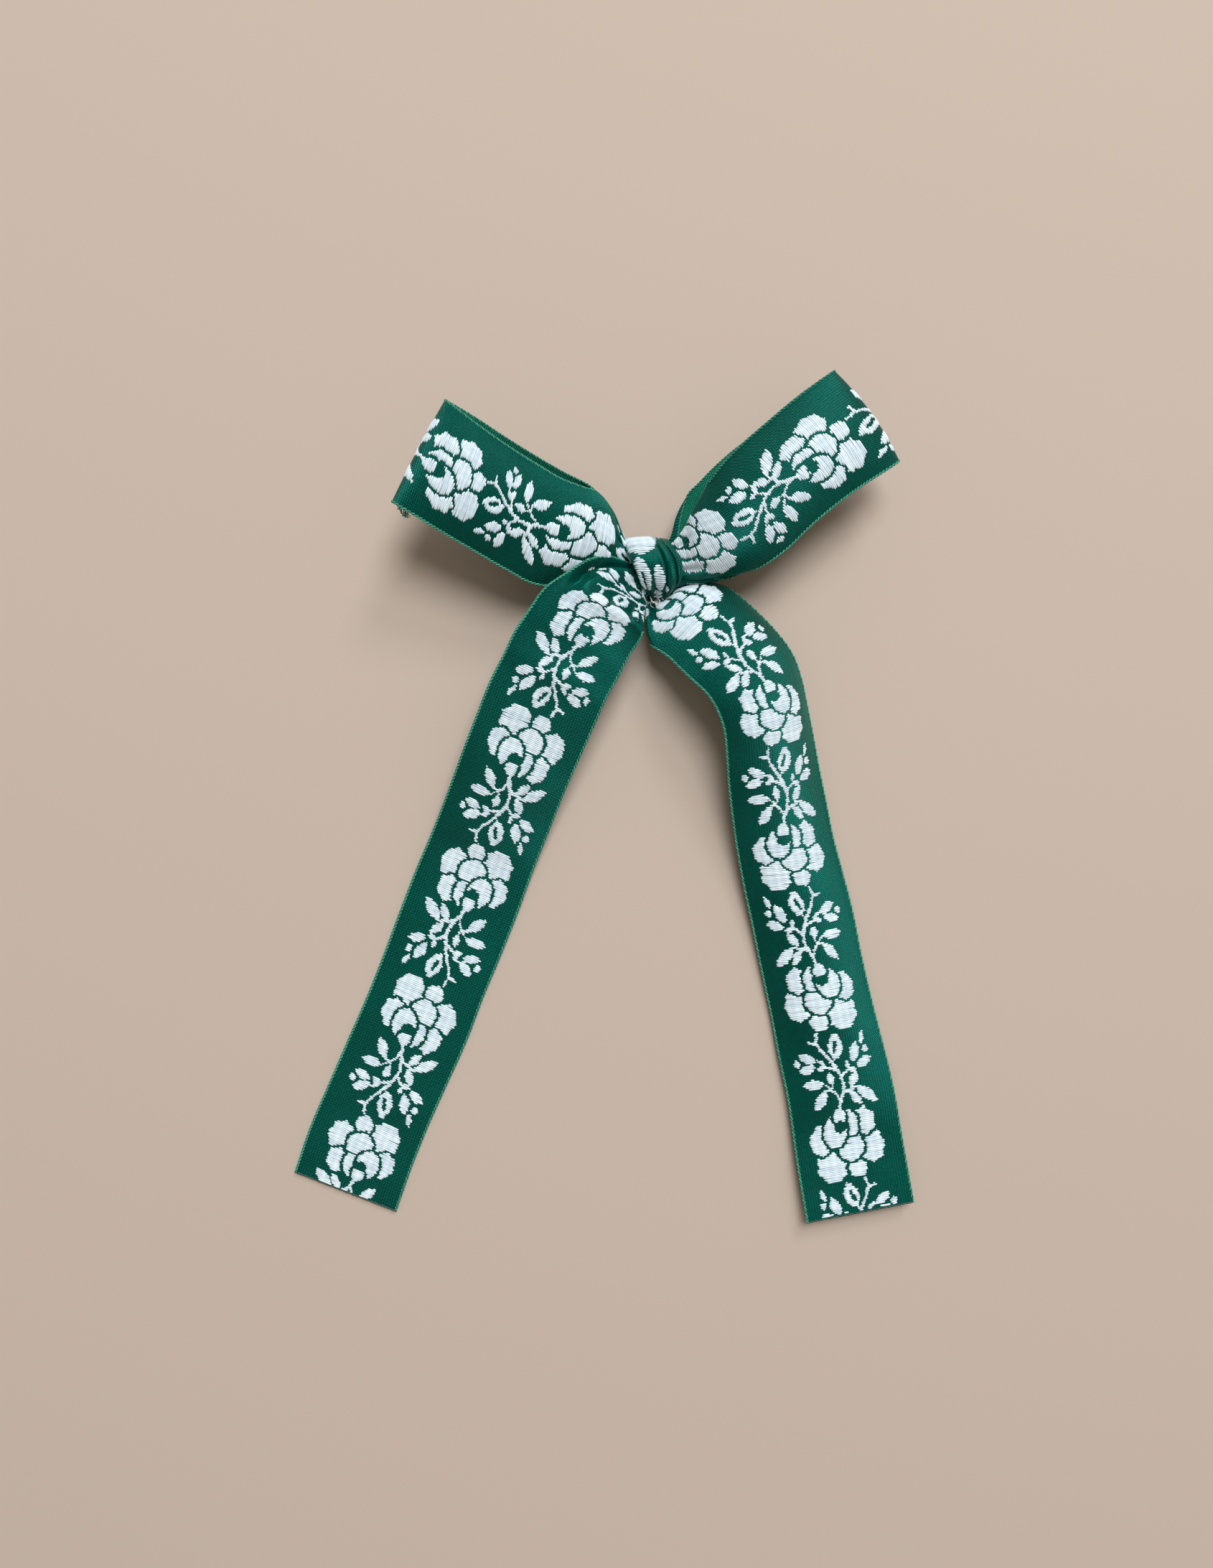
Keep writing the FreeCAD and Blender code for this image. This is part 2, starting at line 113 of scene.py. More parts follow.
LEFT_LOOP = [
    ((-0.6, 4.3, 8.2), (-0.1, 2.1, 7.8), 10.5),
    ((-3.2, 5.5, 8.4), (-2.1, 1.8, 7.6), 15.0),
    ((-6.3, 6.4, 9.6), (-4.2, 1.4, 8.0), 19.5),
    ((-7.9, 9.1, 11.2), (-7.4, 0.2, 8.4), 23.7),
    ((-9.2, 12.7, 12.6), (-11.6, -1.0, 8.8), 27.4),
    ((-11.6, 16.0, 13.8), (-16.8, -2.2, 9.4), 31.3),
    ((-15.2, 17.6, 15.0), (-21.6, -3.2, 10.4), 35.5),
    ((-19.9, 19.1, 16.2), (-26.6, -3.1, 12.4), 40.5),
    ((-25.2, 21.9, 17.4), (-31.9, -0.8, 15.0), 47.0),
    ((-31.6, 25.6, 18.8), (-39.9, 3.5, 17.4), 57.5),
    ((-37.6, 29.5, 20.2), (-46.5, 7.1, 19.3), 67.0),
    ((-42.1, 32.7, 21.4), (-51.7, 10.1, 20.7), 73.3),
    ((-44.0, 34.1, 21.9), (-54.7, 11.8, 21.3), 76.3),
    ((-44.8, 34.8, 21.6), (-56.1, 12.6, 21.4), 77.7),
    ((-45.2, 35.3, 20.6), (-56.8, 13.2, 20.6), 79.0),
    ((-45.1, 35.4, 19.6), (-56.8, 13.3, 19.6), 80.2),
    ((-43.9, 34.9, 18.9), (-55.6, 13.0, 18.8), 81.9),
    ((-39.4, 32.6, 17.3), (-51.3, 11.4, 16.6), 87.6),
    ((-31.9, 28.2, 15.0), (-44.0, 8.2, 13.6), 97.0),
    ((-23.8, 23.9, 12.2), (-35.4, 4.3, 10.6), 107.2),
    ((-17.6, 20.8, 10.2), (-27.8, 1.8, 8.6), 115.0),
    ((-11.9, 17.2, 8.8), (-19.1, 0.6, 7.2), 122.2),
    ((-8.9, 13.4, 8.0), (-12.4, 0.9, 6.4), 127.0),
    ((-7.4, 9.9, 7.4), (-7.7, 1.3, 5.8), 131.0),
    ((-5.8, 6.8, 6.8), (-4.3, 1.8, 5.6), 135.2),
    ((-2.9, 5.6, 6.4), (-2.0, 2.1, 5.6), 139.5),
    ((-0.4, 4.6, 6.6), (-0.1, 2.4, 6.2), 144.0),
]
RIGHT_LOOP = [
    ((-0.7, 4.7, 6.0), (-0.5, 2.1, 5.8), -82.0),
    ((2.0, 5.3, 6.4), (2.2, 0.5, 6.0), -77.0),
    ((4.3, 8.0, 7.2), (5.7, -1.7, 7.2), -71.5),
    ((5.2, 12.2, 7.4), (10.1, -2.0, 7.8), -67.0),
    ((7.7, 17.1, 7.4), (14.6, -1.5, 8.0), -61.6),
    ((11.4, 21.6, 7.6), (21.9, 0.8, 7.8), -55.6),
    ((17.0, 26.9, 7.8), (28.4, 5.7, 7.4), -47.0),
    ((24.6, 32.7, 8.4), (34.4, 10.9, 8.0), -37.6),
    ((31.8, 38.0, 10.0), (41.8, 16.9, 9.6), -27.6),
    ((37.5, 42.2, 11.4), (49.8, 21.6, 11.2), -18.6),
    ((39.5, 43.8, 11.9), (53.8, 23.7, 11.9), -15.6),
    ((40.2, 44.3, 12.6), (54.8, 24.3, 12.6), -14.5),
    ((40.1, 44.1, 13.5), (54.7, 24.0, 13.5), -13.5),
    ((39.3, 43.4, 14.3), (53.7, 23.2, 14.3), -12.2),
    ((37.3, 41.9, 14.8), (51.6, 21.7, 14.7), -10.0),
    ((32.3, 38.2, 15.4), (47.2, 18.9, 15.2), -5.0),
    ((24.8, 31.8, 16.2), (40.6, 14.2, 15.8), 3.8),
    ((17.4, 25.2, 16.6), (34.0, 8.7, 15.6), 12.8),
    ((13.2, 20.4, 16.4), (28.5, 3.5, 14.8), 20.2),
    ((10.8, 16.1, 15.6), (23.3, 0.6, 13.6), 26.2),
    ((8.6, 12.4, 14.4), (17.4, -0.8, 12.2), 32.0),
    ((7.2, 9.4, 12.8), (11.8, -1.4, 10.8), 36.6),
    ((5.2, 6.8, 11.0), (6.6, -1.1, 9.4), 41.0),
    ((2.4, 5.2, 9.0), (2.8, 0.7, 8.4), 46.0),
    ((-0.7, 4.1, 9.0), (-0.5, 1.8, 8.6), 50.5),
]
# The band round the knot, from the top edge over the crown, under and back.
WRAP = [
    ((-6.8, 7.5, 8.0), (4.1, 7.5, 8.0)),
    ((-6.3, 6.1, 10.6), (4.6, 5.9, 10.6)),
    ((-5.6, 3.4, 12.7), (5.6, 3.4, 12.7)),
    ((-4.5, 0.7, 13.4), (6.3, 0.7, 13.4)),
    ((-3.7, -1.2, 12.9), (6.3, -1.4, 12.9)),
    ((-3.0, -3.0, 11.4), (5.7, -3.2, 11.4)),
    ((-1.8, -4.3, 9.2), (4.5, -4.6, 9.2)),
    ((-0.9, -5.2, 6.6), (3.0, -5.5, 6.6)),
    ((-0.7, -5.2, 4.4), (2.8, -5.5, 4.4)),
    ((-1.7, -3.7, 2.3), (4.2, -4.0, 2.3)),
    ((-3.7, -0.1, 1.6), (5.6, -0.5, 1.6)),
    ((-5.0, 3.4, 1.6), (5.6, 3.2, 1.6)),
    ((-6.0, 6.8, 2.0), (4.9, 6.8, 2.0)),
    ((-6.7, 8.1, 4.4), (4.3, 8.1, 4.4)),
]
WIDTH = 24.8        # of the ribbon
PITCH = 0.41        # of the floss floats
REPEAT = 34.0       # of one rose and sprig
CLOTH = 0.26        # thickness of the ground cloth


# ------------------------------------------------------------------ the motif
def ellipse(x, y, cx, cy, rx, ry, turn=0.0, grow=0.0, lobes=0, depth=0.0, phase=0.0):
    c, s = math.cos(math.radians(turn)), math.sin(math.radians(turn))
    dx, dy = x - cx, y - cy
    a, b = (dx * c + dy * s) / (rx + grow), (-dx * s + dy * c) / (ry + grow)
    r = np.hypot(a, b)
    if lobes:
        r = r / (1 + depth * np.cos(lobes * np.arctan2(b, a) + phase))
    return r < 1


def leaf(x, y, x0, y0, x1, y1, w, grow=0.0, fat=0.8):
    """A pointed oval from (x0, y0) to (x1, y1), w across."""
    dx, dy = x1 - x0, y1 - y0
    n = math.hypot(dx, dy)
    t = ((x - x0) * dx + (y - y0) * dy) / (n * n)
    d = np.abs((x - x0) * dy - (y - y0) * dx) / n
    half = w / 2 * np.sin(np.pi * np.clip(t, 0, 1)) ** fat
    return (t > 0) & (t < 1) & (d < half + grow)


def stem(x, y, pts, w0, w1):
    hit = np.zeros(np.shape(x), bool)
    n = len(pts) - 1
    for i in range(n):
        (x0, y0), (x1, y1) = pts[i], pts[i + 1]
        dx, dy = x1 - x0, y1 - y0
        t = np.clip(((x - x0) * dx + (y - y0) * dy) / (dx * dx + dy * dy), 0, 1)
        w = w0 + (w1 - w0) * (i + t) / n
        hit |= np.hypot(x - x0 - t * dx, y - y0 - t * dy) < w / 2
    return hit


PETALS = [  # front petals first: each hides the ones after it
    (6.3, 1.1, 1.75, 1.6, 0, 0, 0.0, 0),
    (3.3, 2.5, 3.7, 2.9, -12, 0, 0.0, 0),
    (4.7, -1.3, 2.9, 1.9, 12, 5, 0.04, 0.6),
    (-0.7, -0.8, 3.0, 3.3, 30, 5, 0.03, 0.0),
    (1.9, 5.9, 3.5, 2.9, -24, 7, 0.05, 0.4),
    (4.7, -4.8, 3.1, 2.5, 14, 6, 0.06, 2.0),
    (-0.9, -5.6, 3.9, 3.2, 8, 8, 0.05, 1.0),
    (-5.6, -1.6, 2.2, 2.3, 0, 5, 0.04, 0.5),
    (-4.2, 4.2, 3.9, 3.9, 20, 8, 0.05, 0.2),
]
LEAVES = [
    (12.2, 3.1, 8.2, 6.6, 2.5), (14.0, 3.3, 14.0, 8.7, 2.4), (13.4, 1.4, 16.6, 1.8, 2.1),
    (11.8, -2.0, 8.3, -4.8, 2.1), (12.4, -3.8, 8.4, -8.9, 2.7), (12.6, -2.4, 15.8, -5.1, 2.2),
    (17.9, 1.9, 17.4, 4.4, 1.3), (18.0, 1.9, 19.7, 3.9, 1.2),
    (18.2, 4.5, 17.2, 8.8, 2.1), (19.1, 3.8, 21.2, 8.2, 2.3),
    (16.5, -2.8, 16.3, -5.3, 1.3), (16.8, -2.9, 18.8, -3.2, 1.3),
    (17.0, -5.1, 18.6, -9.4, 2.2), (18.0, -4.4, 22.7, -6.4, 2.6),
    (21.8, -7.3, 24.9, -8.5, 1.5), (23.3, -0.2, 25.4, -2.2, 1.7), (19.3, 0.2, 21.4, -2.7, 1.6),
]


def motif(x, y):
    """True where the floss floats on the face, for one repeat: x from -8 to 26 about a rose."""
    white = np.zeros(np.shape(x), bool)
    hidden = ellipse(x, y, 4.1, 1.2, 1.25, 1.5, 0)
    for i, (cx, cy, rx, ry, turn, lobes, depth, phase) in enumerate(PETALS):
        inside = ellipse(x, y, cx, cy, rx, ry, turn, 0.0, lobes, depth, phase)
        white |= inside & ~hidden
        if i == 0:
            hidden = hidden | ellipse(x, y, cx, cy, rx, ry, turn, 0.5)
        else:
            hidden = hidden | ellipse(x, y, cx, cy, rx, ry, turn, 0.52, lobes, depth, phase)
    for lf in LEAVES:
        white |= leaf(x, y, *lf)
    white |= ellipse(x, y, 19.2, 8.7, 0.95, 0.85) | ellipse(x, y, 20.8, -8.2, 0.9, 0.9)
    bud = ellipse(x, y, 22.2, -1.1, 2.7, 1.9, -14)
    slit = stem(x, y, [(21.0, -0.5), (23.2, -1.3)], 0.6, 0.6)
    white = (white | bud) & ~slit
    sprig = stem(x, y, [(7.6, 0.7), (9.4, 0.4), (11.4, -0.6), (13.2, -1.1), (15.4, -0.9), (17.6, -0.1), (19.8, 1.2), (22.0, 2.6), (23.6, 3.2), (26.2, 2.7)], 1.05, 0.85)
    sprig |= stem(x, y, [(23.4, 3.1), (23.9, 4.9)], 0.8, 0.7)
    sprig |= stem(x, y, [(9.8, 0.5), (11.4, 1.0), (12.4, 2.0), (12.2, 3.5)], 0.75, 0.65)
    sprig |= stem(x, y, [(12.4, 2.0), (13.9, 3.5)], 0.6, 0.55) | stem(x, y, [(12.4, 1.9), (13.8, 1.5)], 0.6, 0.55)
    sprig |= stem(x, y, [(11.3, -0.7), (11.9, -2.4), (12.4, -4.0)], 0.8, 0.65)
    sprig |= stem(x, y, [(16.4, -0.6), (17.4, 1.0), (17.9, 2.4)], 0.75, 0.65)
    sprig |= stem(x, y, [(14.8, -1.1), (16.0, -2.1), (16.8, -3.2)], 0.75, 0.65)
    sprig |= stem(x, y, [(18.6, 0.5), (19.8, -0.6)], 0.55, 0.5)
    return white | sprig


def floats_on_row(u):
    """The floss floats of the row at u, as (v from, v to)."""
    k = math.floor((u + 8.0) / REPEAT)
    x = u - REPEAT * k
    y = np.arange(-WIDTH / 2 + 0.4, WIDTH / 2 - 0.4, 0.06)
    hit = motif(np.full(y.shape, x), y / 0.955).astype(int)
    if k % 2:
        hit = hit[::-1]  # the next repeat is turned over
    edge = np.flatnonzero(np.diff(np.concatenate([[0], hit, [0]])))
    return [(y[a] + 0.3, y[b - 1] + 0.3) for a, b in zip(edge[::2], edge[1::2]) if y[b - 1] - y[a] > 0.35]


# ------------------------------------------------------------ shaped surfaces
def smooth(a, sigma):
    """Gaussian blur down the first axis, keeping the ends where they are."""
    r = int(max(1, round(sigma * 3)))
    k = np.exp(-0.5 * (np.arange(-r, r + 1) / sigma) ** 2)
    k /= k.sum()
    head = 2 * a[0] - a[r:0:-1]
    tail = 2 * a[-1] - a[-2:-r - 2:-1]
    b = np.concatenate([head, a, tail])
    return np.stack([np.convolve(b[:, i], k, "valid") for i in range(a.shape[1])], 1)


def through(us, pts, u):
    """A curve through the points, with tangents from their neighbours."""
    us, pts = np.asarray(us, float), np.asarray(pts, float)
    d = np.diff(pts, axis=0) / np.diff(us)[:, None]
    m = np.empty_like(pts)
    m[0], m[-1] = d[0], d[-1]
    h = np.diff(us)[:, None]
    m[1:-1] = (d[:-1] * h[1:] + d[1:] * h[:-1]) / (h[1:] + h[:-1])
    i = np.clip(np.searchsorted(us, u, "right") - 1, 0, len(us) - 2)
    hh = (us[i + 1] - us[i])[:, None]
    t = (u - us[i])[:, None] / hh
    return (
        (2 * t ** 3 - 3 * t ** 2 + 1) * pts[i] + (t ** 3 - 2 * t ** 2 + t) * hh * m[i]
        + (3 * t ** 2 - 2 * t ** 3) * pts[i + 1] + (t ** 3 - t ** 2) * hh * m[i + 1]
    )


def unit(a):
    return a / np.maximum(np.linalg.norm(a, axis=-1, keepdims=True), 1e-9)


class Leg:
    """A ribbon surface over (u, v), built from its sections.

    Where the sections are narrower than the ribbon, it arches, and what is
    left over turns under at its sides, as it does where a knot grips it.
    """

    shift = 0.0

    def __init__(self, table, share=0.5, gain=0.7, skew=0.0, full=1.12, blur=1.2, dips=(), folds=(), nv=66, step=0.3):
        us = np.array([r[2] for r in table])
        self.step = step
        self.u = np.arange(us[0], us[-1] + 1e-6, step)
        a = smooth(through(us, [r[0] for r in table], self.u), blur / step)
        b = smooth(through(us, [r[1] for r in table], self.u), blur / step)
        nu = len(self.u)
        centre = (a + b) / 2
        across = unit(b - a)
        along = unit(np.gradient(centre, axis=0))
        normal = unit(np.cross(along, across))
        normal = unit(smooth(normal, 0.5 / step))
        normal = unit(normal - across * (normal * across).sum(1)[:, None])
        c = np.linalg.norm(b - a, axis=1)
        w = np.minimum(WIDTH, c * full)
        w = np.minimum(smooth(w[:, None], 1.0 / step)[:, 0], WIDTH)
        spare = WIDTH - w
        call = lambda f: np.asarray(f(self.u) if callable(f) else np.full(nu, float(f)), float)
        sh, gn, sk = call(share), call(gain), call(skew)[:, None]
        v0 = -WIDTH / 2 + spare * sh
        v1 = v0 + w
        # fine columns, because the sides turn under within a millimetre or two
        v = np.linspace(-WIDTH / 2, WIDTH / 2, nv * 4 + 1)
        vv = v[None, :]
        dv = v[1] - v[0]
        q = np.clip((vv - v0[:, None]) / w[:, None], 0, 1)
        bend = (1 - 2 * q) * (1 - np.abs(sk))
        for sgn, qq in ((1, q), (-1, 1 - q)):  # skew crowds the bend towards one side
            bend = bend + sgn * np.clip(sgn * sk, 0, 1) * 2.25 * (np.exp(-qq / 0.35) - 0.33)
        extra = np.zeros_like(q)
        for u_at, u_wide, q_at, q_wide, deep in dips:
            s = (q - q_at) / q_wide
            slope = deep * -2 * s / (q_wide * w[:, None]) * np.exp(-s * s) * np.exp(-(((self.u - u_at) / u_wide) ** 2))[:, None]
            extra = extra + np.arctan(slope)
        da, db = np.maximum(v0[:, None] - vv, 0), np.maximum(vv - v1[:, None], 0)
        inside = (da == 0) & (db == 0)
        target = c + (1 - gn) * (w - c)
        low, high = np.zeros(nu), np.full(nu, 1.5)
        for _ in range(12):  # the arch that takes up the slack
            mid = (low + high) / 2
            span = (np.cos(mid[:, None] * bend + extra) * inside).sum(1) * dv
            high = np.where(span < target, mid, high)
            low = np.where(span < target, low, mid)
        alpha = smooth(low[:, None], 1.5 / step)[:, 0]
        theta = alpha[:, None] * bend + extra
        start = alpha * np.where(inside, bend, 0).max(1)
        stop = -alpha * np.where(inside, bend, 0).min(1)
        ra, rb = 0.55, 0.8
        theta = theta + np.minimum(da / ra, (np.pi * 0.98 - start)[:, None]) - np.minimum(db / rb, (np.pi * 0.98 - stop)[:, None])
        ta, tb = spare * sh, spare * (1 - sh)
        room = 0.8 * c
        speed = np.ones_like(theta)
        for d, t, r in ((da, ta, ra), (db, tb, rb)):
            k = np.minimum(1.0, room / np.maximum(t - np.pi * r, 0.01))[:, None]
            speed = np.where(d > np.pi * r, np.minimum(speed, k), speed)
        cx, cy = np.cos(theta) * speed, np.sin(theta) * speed
        x = np.concatenate([np.zeros((nu, 1)), np.cumsum((cx[:, 1:] + cx[:, :-1]) / 2 * dv, 1)], 1)
        y = np.concatenate([np.zeros((nu, 1)), np.cumsum((cy[:, 1:] + cy[:, :-1]) / 2 * dv, 1)], 1)
        pick = lambda f, at: np.array([np.interp(at[i], v, f[i]) for i in range(nu)])
        x0, y0, x1, y1 = pick(x, v0), pick(y, v0), pick(x, v1), pick(y, v1)
        x, y = x - x0[:, None], y - y0[:, None]
        scale = c / np.maximum(x1 - x0, 0.5)
        y = y - (y1 - y0)[:, None] * x / np.maximum(x1 - x0, 0.5)[:, None]
        x = x * scale[:, None]
        for u_at, u_wide, q_at, q_wide, deep, pitch in folds:  # small pleats that run across the ribbon
            along_u = np.cos(2 * np.pi * (self.u - u_at) / pitch) * np.exp(-(((self.u - u_at) / u_wide) ** 2))
            y = y + deep * along_u[:, None] * np.clip(1 - np.abs(q - q_at) / q_wide, 0, 1) ** 1.5
        p = a[:, None] + across[:, None] * x[..., None] + normal[:, None] * y[..., None]
        self.v = v
        self.p = p
        self.face = v0 - 0.9, v1 + 0.9
        self.recompute()

    def trim(self, rows):
        """Leaves out the floats that are tucked under with the sides of the cloth."""
        kept = []
        for u, a, b, tone in rows:
            lo, hi = np.interp(u, self.u, self.face[0]), np.interp(u, self.u, self.face[1])
            a, b = max(a, lo), min(b, hi)
            if b - a > 0.3:
                kept.append((u, a, b, tone))
        return kept

    def recompute(self):
        pu = np.gradient(self.p, axis=0)
        pv = np.gradient(self.p, axis=1)
        self.n = unit(np.cross(pu, pv))

    def at(self, u, v):
        """Point and face normal at (u, v)."""
        i = np.clip((np.asarray(u, float) - self.u[0]) / self.step, 0, len(self.u) - 1.001)
        j = np.clip((np.asarray(v, float) - self.v[0]) / (self.v[1] - self.v[0]), 0, len(self.v) - 1.001)
        i0, j0 = i.astype(int), j.astype(int)
        fi, fj = (i - i0)[..., None], (j - j0)[..., None]
        out = []
        for g in (self.p, self.n):
            out.append(
                g[i0, j0] * (1 - fi) * (1 - fj) + g[i0 + 1, j0] * fi * (1 - fj)
                + g[i0, j0 + 1] * (1 - fi) * fj + g[i0 + 1, j0 + 1] * fi * fj
            )
        return out[0], unit(out[1])


def mesh_object(name, verts, faces, material, uv=None, flat=False, tone=None, index=None):
    """verts in millimetres; uv and tone are per vertex."""
    me = bpy.data.meshes.new(name)
    verts = np.asarray(verts, np.float32) * MM
    quads = isinstance(faces, np.ndarray)
    me.from_pydata(verts.tolist(), [], faces.tolist() if quads else faces)
    me.update()
    for m in material if isinstance(material, (list, tuple)) else [material]:
        me.materials.append(m)
    me.polygons.foreach_set("use_smooth", np.full(len(me.polygons), not flat))
    if index is not None:
        me.polygons.foreach_set("material_index", np.asarray(index, np.int32))
    if uv is not None:
        layer = me.uv_layers.new(name="UVMap")
        li = np.zeros(len(me.loops), np.int32)
        me.loops.foreach_get("vertex_index", li)
        layer.data.foreach_set("uv", np.asarray(uv, np.float32)[li].ravel())
    if tone is not None:
        at = me.attributes.new("tone", "FLOAT", "POINT")
        at.data.foreach_set("value", np.asarray(tone, np.float32))
    me.update()
    o = bpy.data.objects.new(name, me)
    bpy.context.scene.collection.objects.link(o)
    return o


def grid_faces(nu, nv, base=0, flip=False):
    i, j = np.meshgrid(np.arange(nu - 1), np.arange(nv - 1), indexing="ij")
    a = base + i * nv + j
    f = np.stack([a, a + nv, a + nv + 1, a + 1], -1).reshape(-1, 4)
    return f[:, ::-1] if flip else f


def slab(name, leg, materials, every=1, skip=2):
    """The ground cloth: a closed thin sheet along the leg's surface."""
    pu = leg.p[::every, ::skip]
    nn = leg.n[::every, ::skip]
    nu, nv = pu.shape[:2]
    # half the cloth's thickness to each side, the same all over
    thick = np.full((nu, nv, 1), CLOTH / 2)
    top, low = pu + nn * thick, pu - nn * thick
    verts = np.concatenate([top.reshape(-1, 3), low.reshape(-1, 3)])
    n = nu * nv
    faces = [grid_faces(nu, nv), grid_faces(nu, nv, n, True)]
    rim = []
    loop = [i * nv for i in range(nu)] + [(nu - 1) * nv + j for j in range(1, nv)]
    loop += [i * nv + nv - 1 for i in range(nu - 2, -1, -1)] + [j for j in range(nv - 2, 0, -1)]
    loop = np.array(loop)
    nxt = np.roll(loop, -1)
    rim = np.stack([loop, loop + n, nxt + n, nxt], -1)
    faces.append(rim[:, ::-1])
    index = np.concatenate([np.zeros(len(faces[0]), int), np.ones(len(faces[1]), int), np.zeros(len(rim), int)])
    gu, gv = np.meshgrid(leg.u[::every], leg.v[::skip], indexing="ij")
    uv = np.stack([gu.ravel() / 25, gv.ravel() / 25 + 0.5], -1)
    return mesh_object(name, verts, np.concatenate(faces), materials, np.concatenate([uv, uv]), index=index)


RING = np.radians([0, 60, 120, 180, 240, 300])


def threads(name, leg, rows, material, width=0.5, height=0.3, lift=0.13, bulge=0.1):
    """Floats lying across the ribbon: closed, slightly flattened strands with pointed ends."""
    verts, faces, uvs, tones = [], [], [], []
    base = 0
    for u, v0, v1, tone in rows:
        length = v1 - v0
        n = int(min(16, max(4, math.ceil(length / 0.62) + 3)))
        s = 0.5 - 0.5 * np.cos(np.pi * np.linspace(0.04, 0.96, n))
        s = 0.5 * s + 0.5 * np.linspace(0.03, 0.97, n)
        v = v0 + s * length
        body = np.clip(np.minimum(s, 1 - s) * length / 0.45, 0, 1) ** 0.5
        up = lift - 0.12 * (1 - body) + bulge * np.sin(np.pi * s) * min(1, length / 4)
        lean = rng.normal(0, 0.05)
        du = u + lean * (s - 0.5) * 2 + 0.03 * np.sin(s * length * 1.3 + u)
        cosr, sinr = np.cos(RING), np.sin(RING)
        uu = du[:, None] + cosr[None] * width / 2 * (0.45 + 0.55 * body[:, None])
        p, nrm = leg.at(uu, np.repeat(v[:, None], 6, 1))
        h = up[:, None] + sinr[None] * height / 2 * (0.4 + 0.6 * body[:, None])
        ring = p + nrm * h[..., None]
        ends, en = leg.at(np.array([u, u]), np.array([v0, v1]))
        ends = ends + en * (lift - 0.15)
        verts += [ring.reshape(-1, 3), ends]
        i, j = np.meshgrid(np.arange(n - 1), np.arange(6), indexing="ij")
        a, b = i * 6 + j, i * 6 + (j + 1) % 6
        q = np.stack([a, a + 6, b + 6, b], -1).reshape(-1, 4) + base
        faces += q.tolist()
        t0, t1 = base + n * 6, base + n * 6 + 1
        k = base + (n - 1) * 6
        faces += [[t0, base + j, base + (j + 1) % 6] for j in range(6)]
        faces += [[t1, k + (j + 1) % 6, k + j] for j in range(6)]
        vv = np.concatenate([np.repeat(v, 6), [v0, v1]])
        uv = np.stack([vv / 25, np.concatenate([np.tile(np.arange(6) / 6.0, n), [0.5, 0.5]]) + round(u / PITCH)], -1)
        uvs.append(uv)
        tones.append(np.full(n * 6 + 2, tone))
        base += n * 6 + 2
    return mesh_object(name, np.concatenate(verts), faces, material, np.concatenate(uvs), tone=np.concatenate(tones))


def rows_for(leg, u_from, u_to):
    rows = []
    k = math.ceil(u_from / PITCH)
    while k * PITCH < u_to:
        u = k * PITCH
        for v0, v1 in floats_on_row(u):
            v0, v1 = v0 + leg.shift, v1 + leg.shift
            v0 += rng.uniform(-0.26, 0.16)
            v1 += rng.uniform(-0.16, 0.26)
            rows.append((u + rng.normal(0, 0.015), v0, v1, rng.uniform(-1, 1)))
        k += 1
    return rows


def tube(name, points, radius, material, sides=6, squash=1.0, tone=0.0, closed=False):
    """A closed tube along points (mm); radius is a number or one per point."""
    v, f, uv = tube_data(points, radius, sides)
    return mesh_object(name, v, f, material, uv, tone=np.full(len(v), tone))


def tube_data(points, radius, sides=6, base=0):
    p = np.asarray(points, float)
    r = np.broadcast_to(np.asarray(radius, float), (len(p),))
    t = unit(np.gradient(p, axis=0))
    ref = np.array([0.0, 0.0, 1.0])
    side = np.cross(t, ref)
    weak = np.linalg.norm(side, axis=1) < 0.05
    side[weak] = np.cross(t[weak], np.array([0.0, 1.0, 0.0]))
    side = unit(side)
    for i in range(1, len(p)):  # carried along, so that it doesn't twist
        s = side[i - 1] - t[i] * (side[i - 1] @ t[i])
        side[i] = s / max(np.linalg.norm(s), 1e-9)
    up = np.cross(side, t)
    a = 2 * np.pi * np.arange(sides) / sides
    ring = p[:, None] + (side[:, None] * np.cos(a)[None, :, None] + up[:, None] * np.sin(a)[None, :, None]) * r[:, None, None]
    n = len(p)
    verts = np.concatenate([ring.reshape(-1, 3), [p[0] - t[0] * r[0] * 0.6, p[-1] + t[-1] * r[-1] * 0.6]])
    i, j = np.meshgrid(np.arange(n - 1), np.arange(sides), indexing="ij")
    q0, q1 = i * sides + j, i * sides + (j + 1) % sides
    faces = (np.stack([q0, q0 + sides, q1 + sides, q1], -1).reshape(-1, 4) + base).tolist()
    s0, s1, k = base + n * sides, base + n * sides + 1, base + (n - 1) * sides
    faces += [[s0, base + j, base + (j + 1) % sides][::1] for j in range(sides)]
    faces += [[s1, k + (j + 1) % sides, k + j] for j in range(sides)]
    run = np.concatenate([[0], np.cumsum(np.linalg.norm(np.diff(p, axis=0), axis=1))])
    uv = np.stack([np.concatenate([np.repeat(run, sides), [run[0], run[-1]]]) / 25, np.concatenate([np.tile(np.arange(sides) / sides, n), [0.5, 0.5]])], -1)
    return verts, faces, uv


def many_tubes(name, lines, material, sides=6):
    verts, faces, uvs, tones, base = [], [], [], [], 0
    for pts, r in lines:
        v, f, uv = tube_data(pts, r, sides, base)
        verts.append(v), uvs.append(uv), tones.append(np.full(len(v), rng.uniform(-1, 1)))
        faces += f
        base += len(v)
    return mesh_object(name, np.concatenate(verts), faces, material, np.concatenate(uvs), tone=np.concatenate(tones))


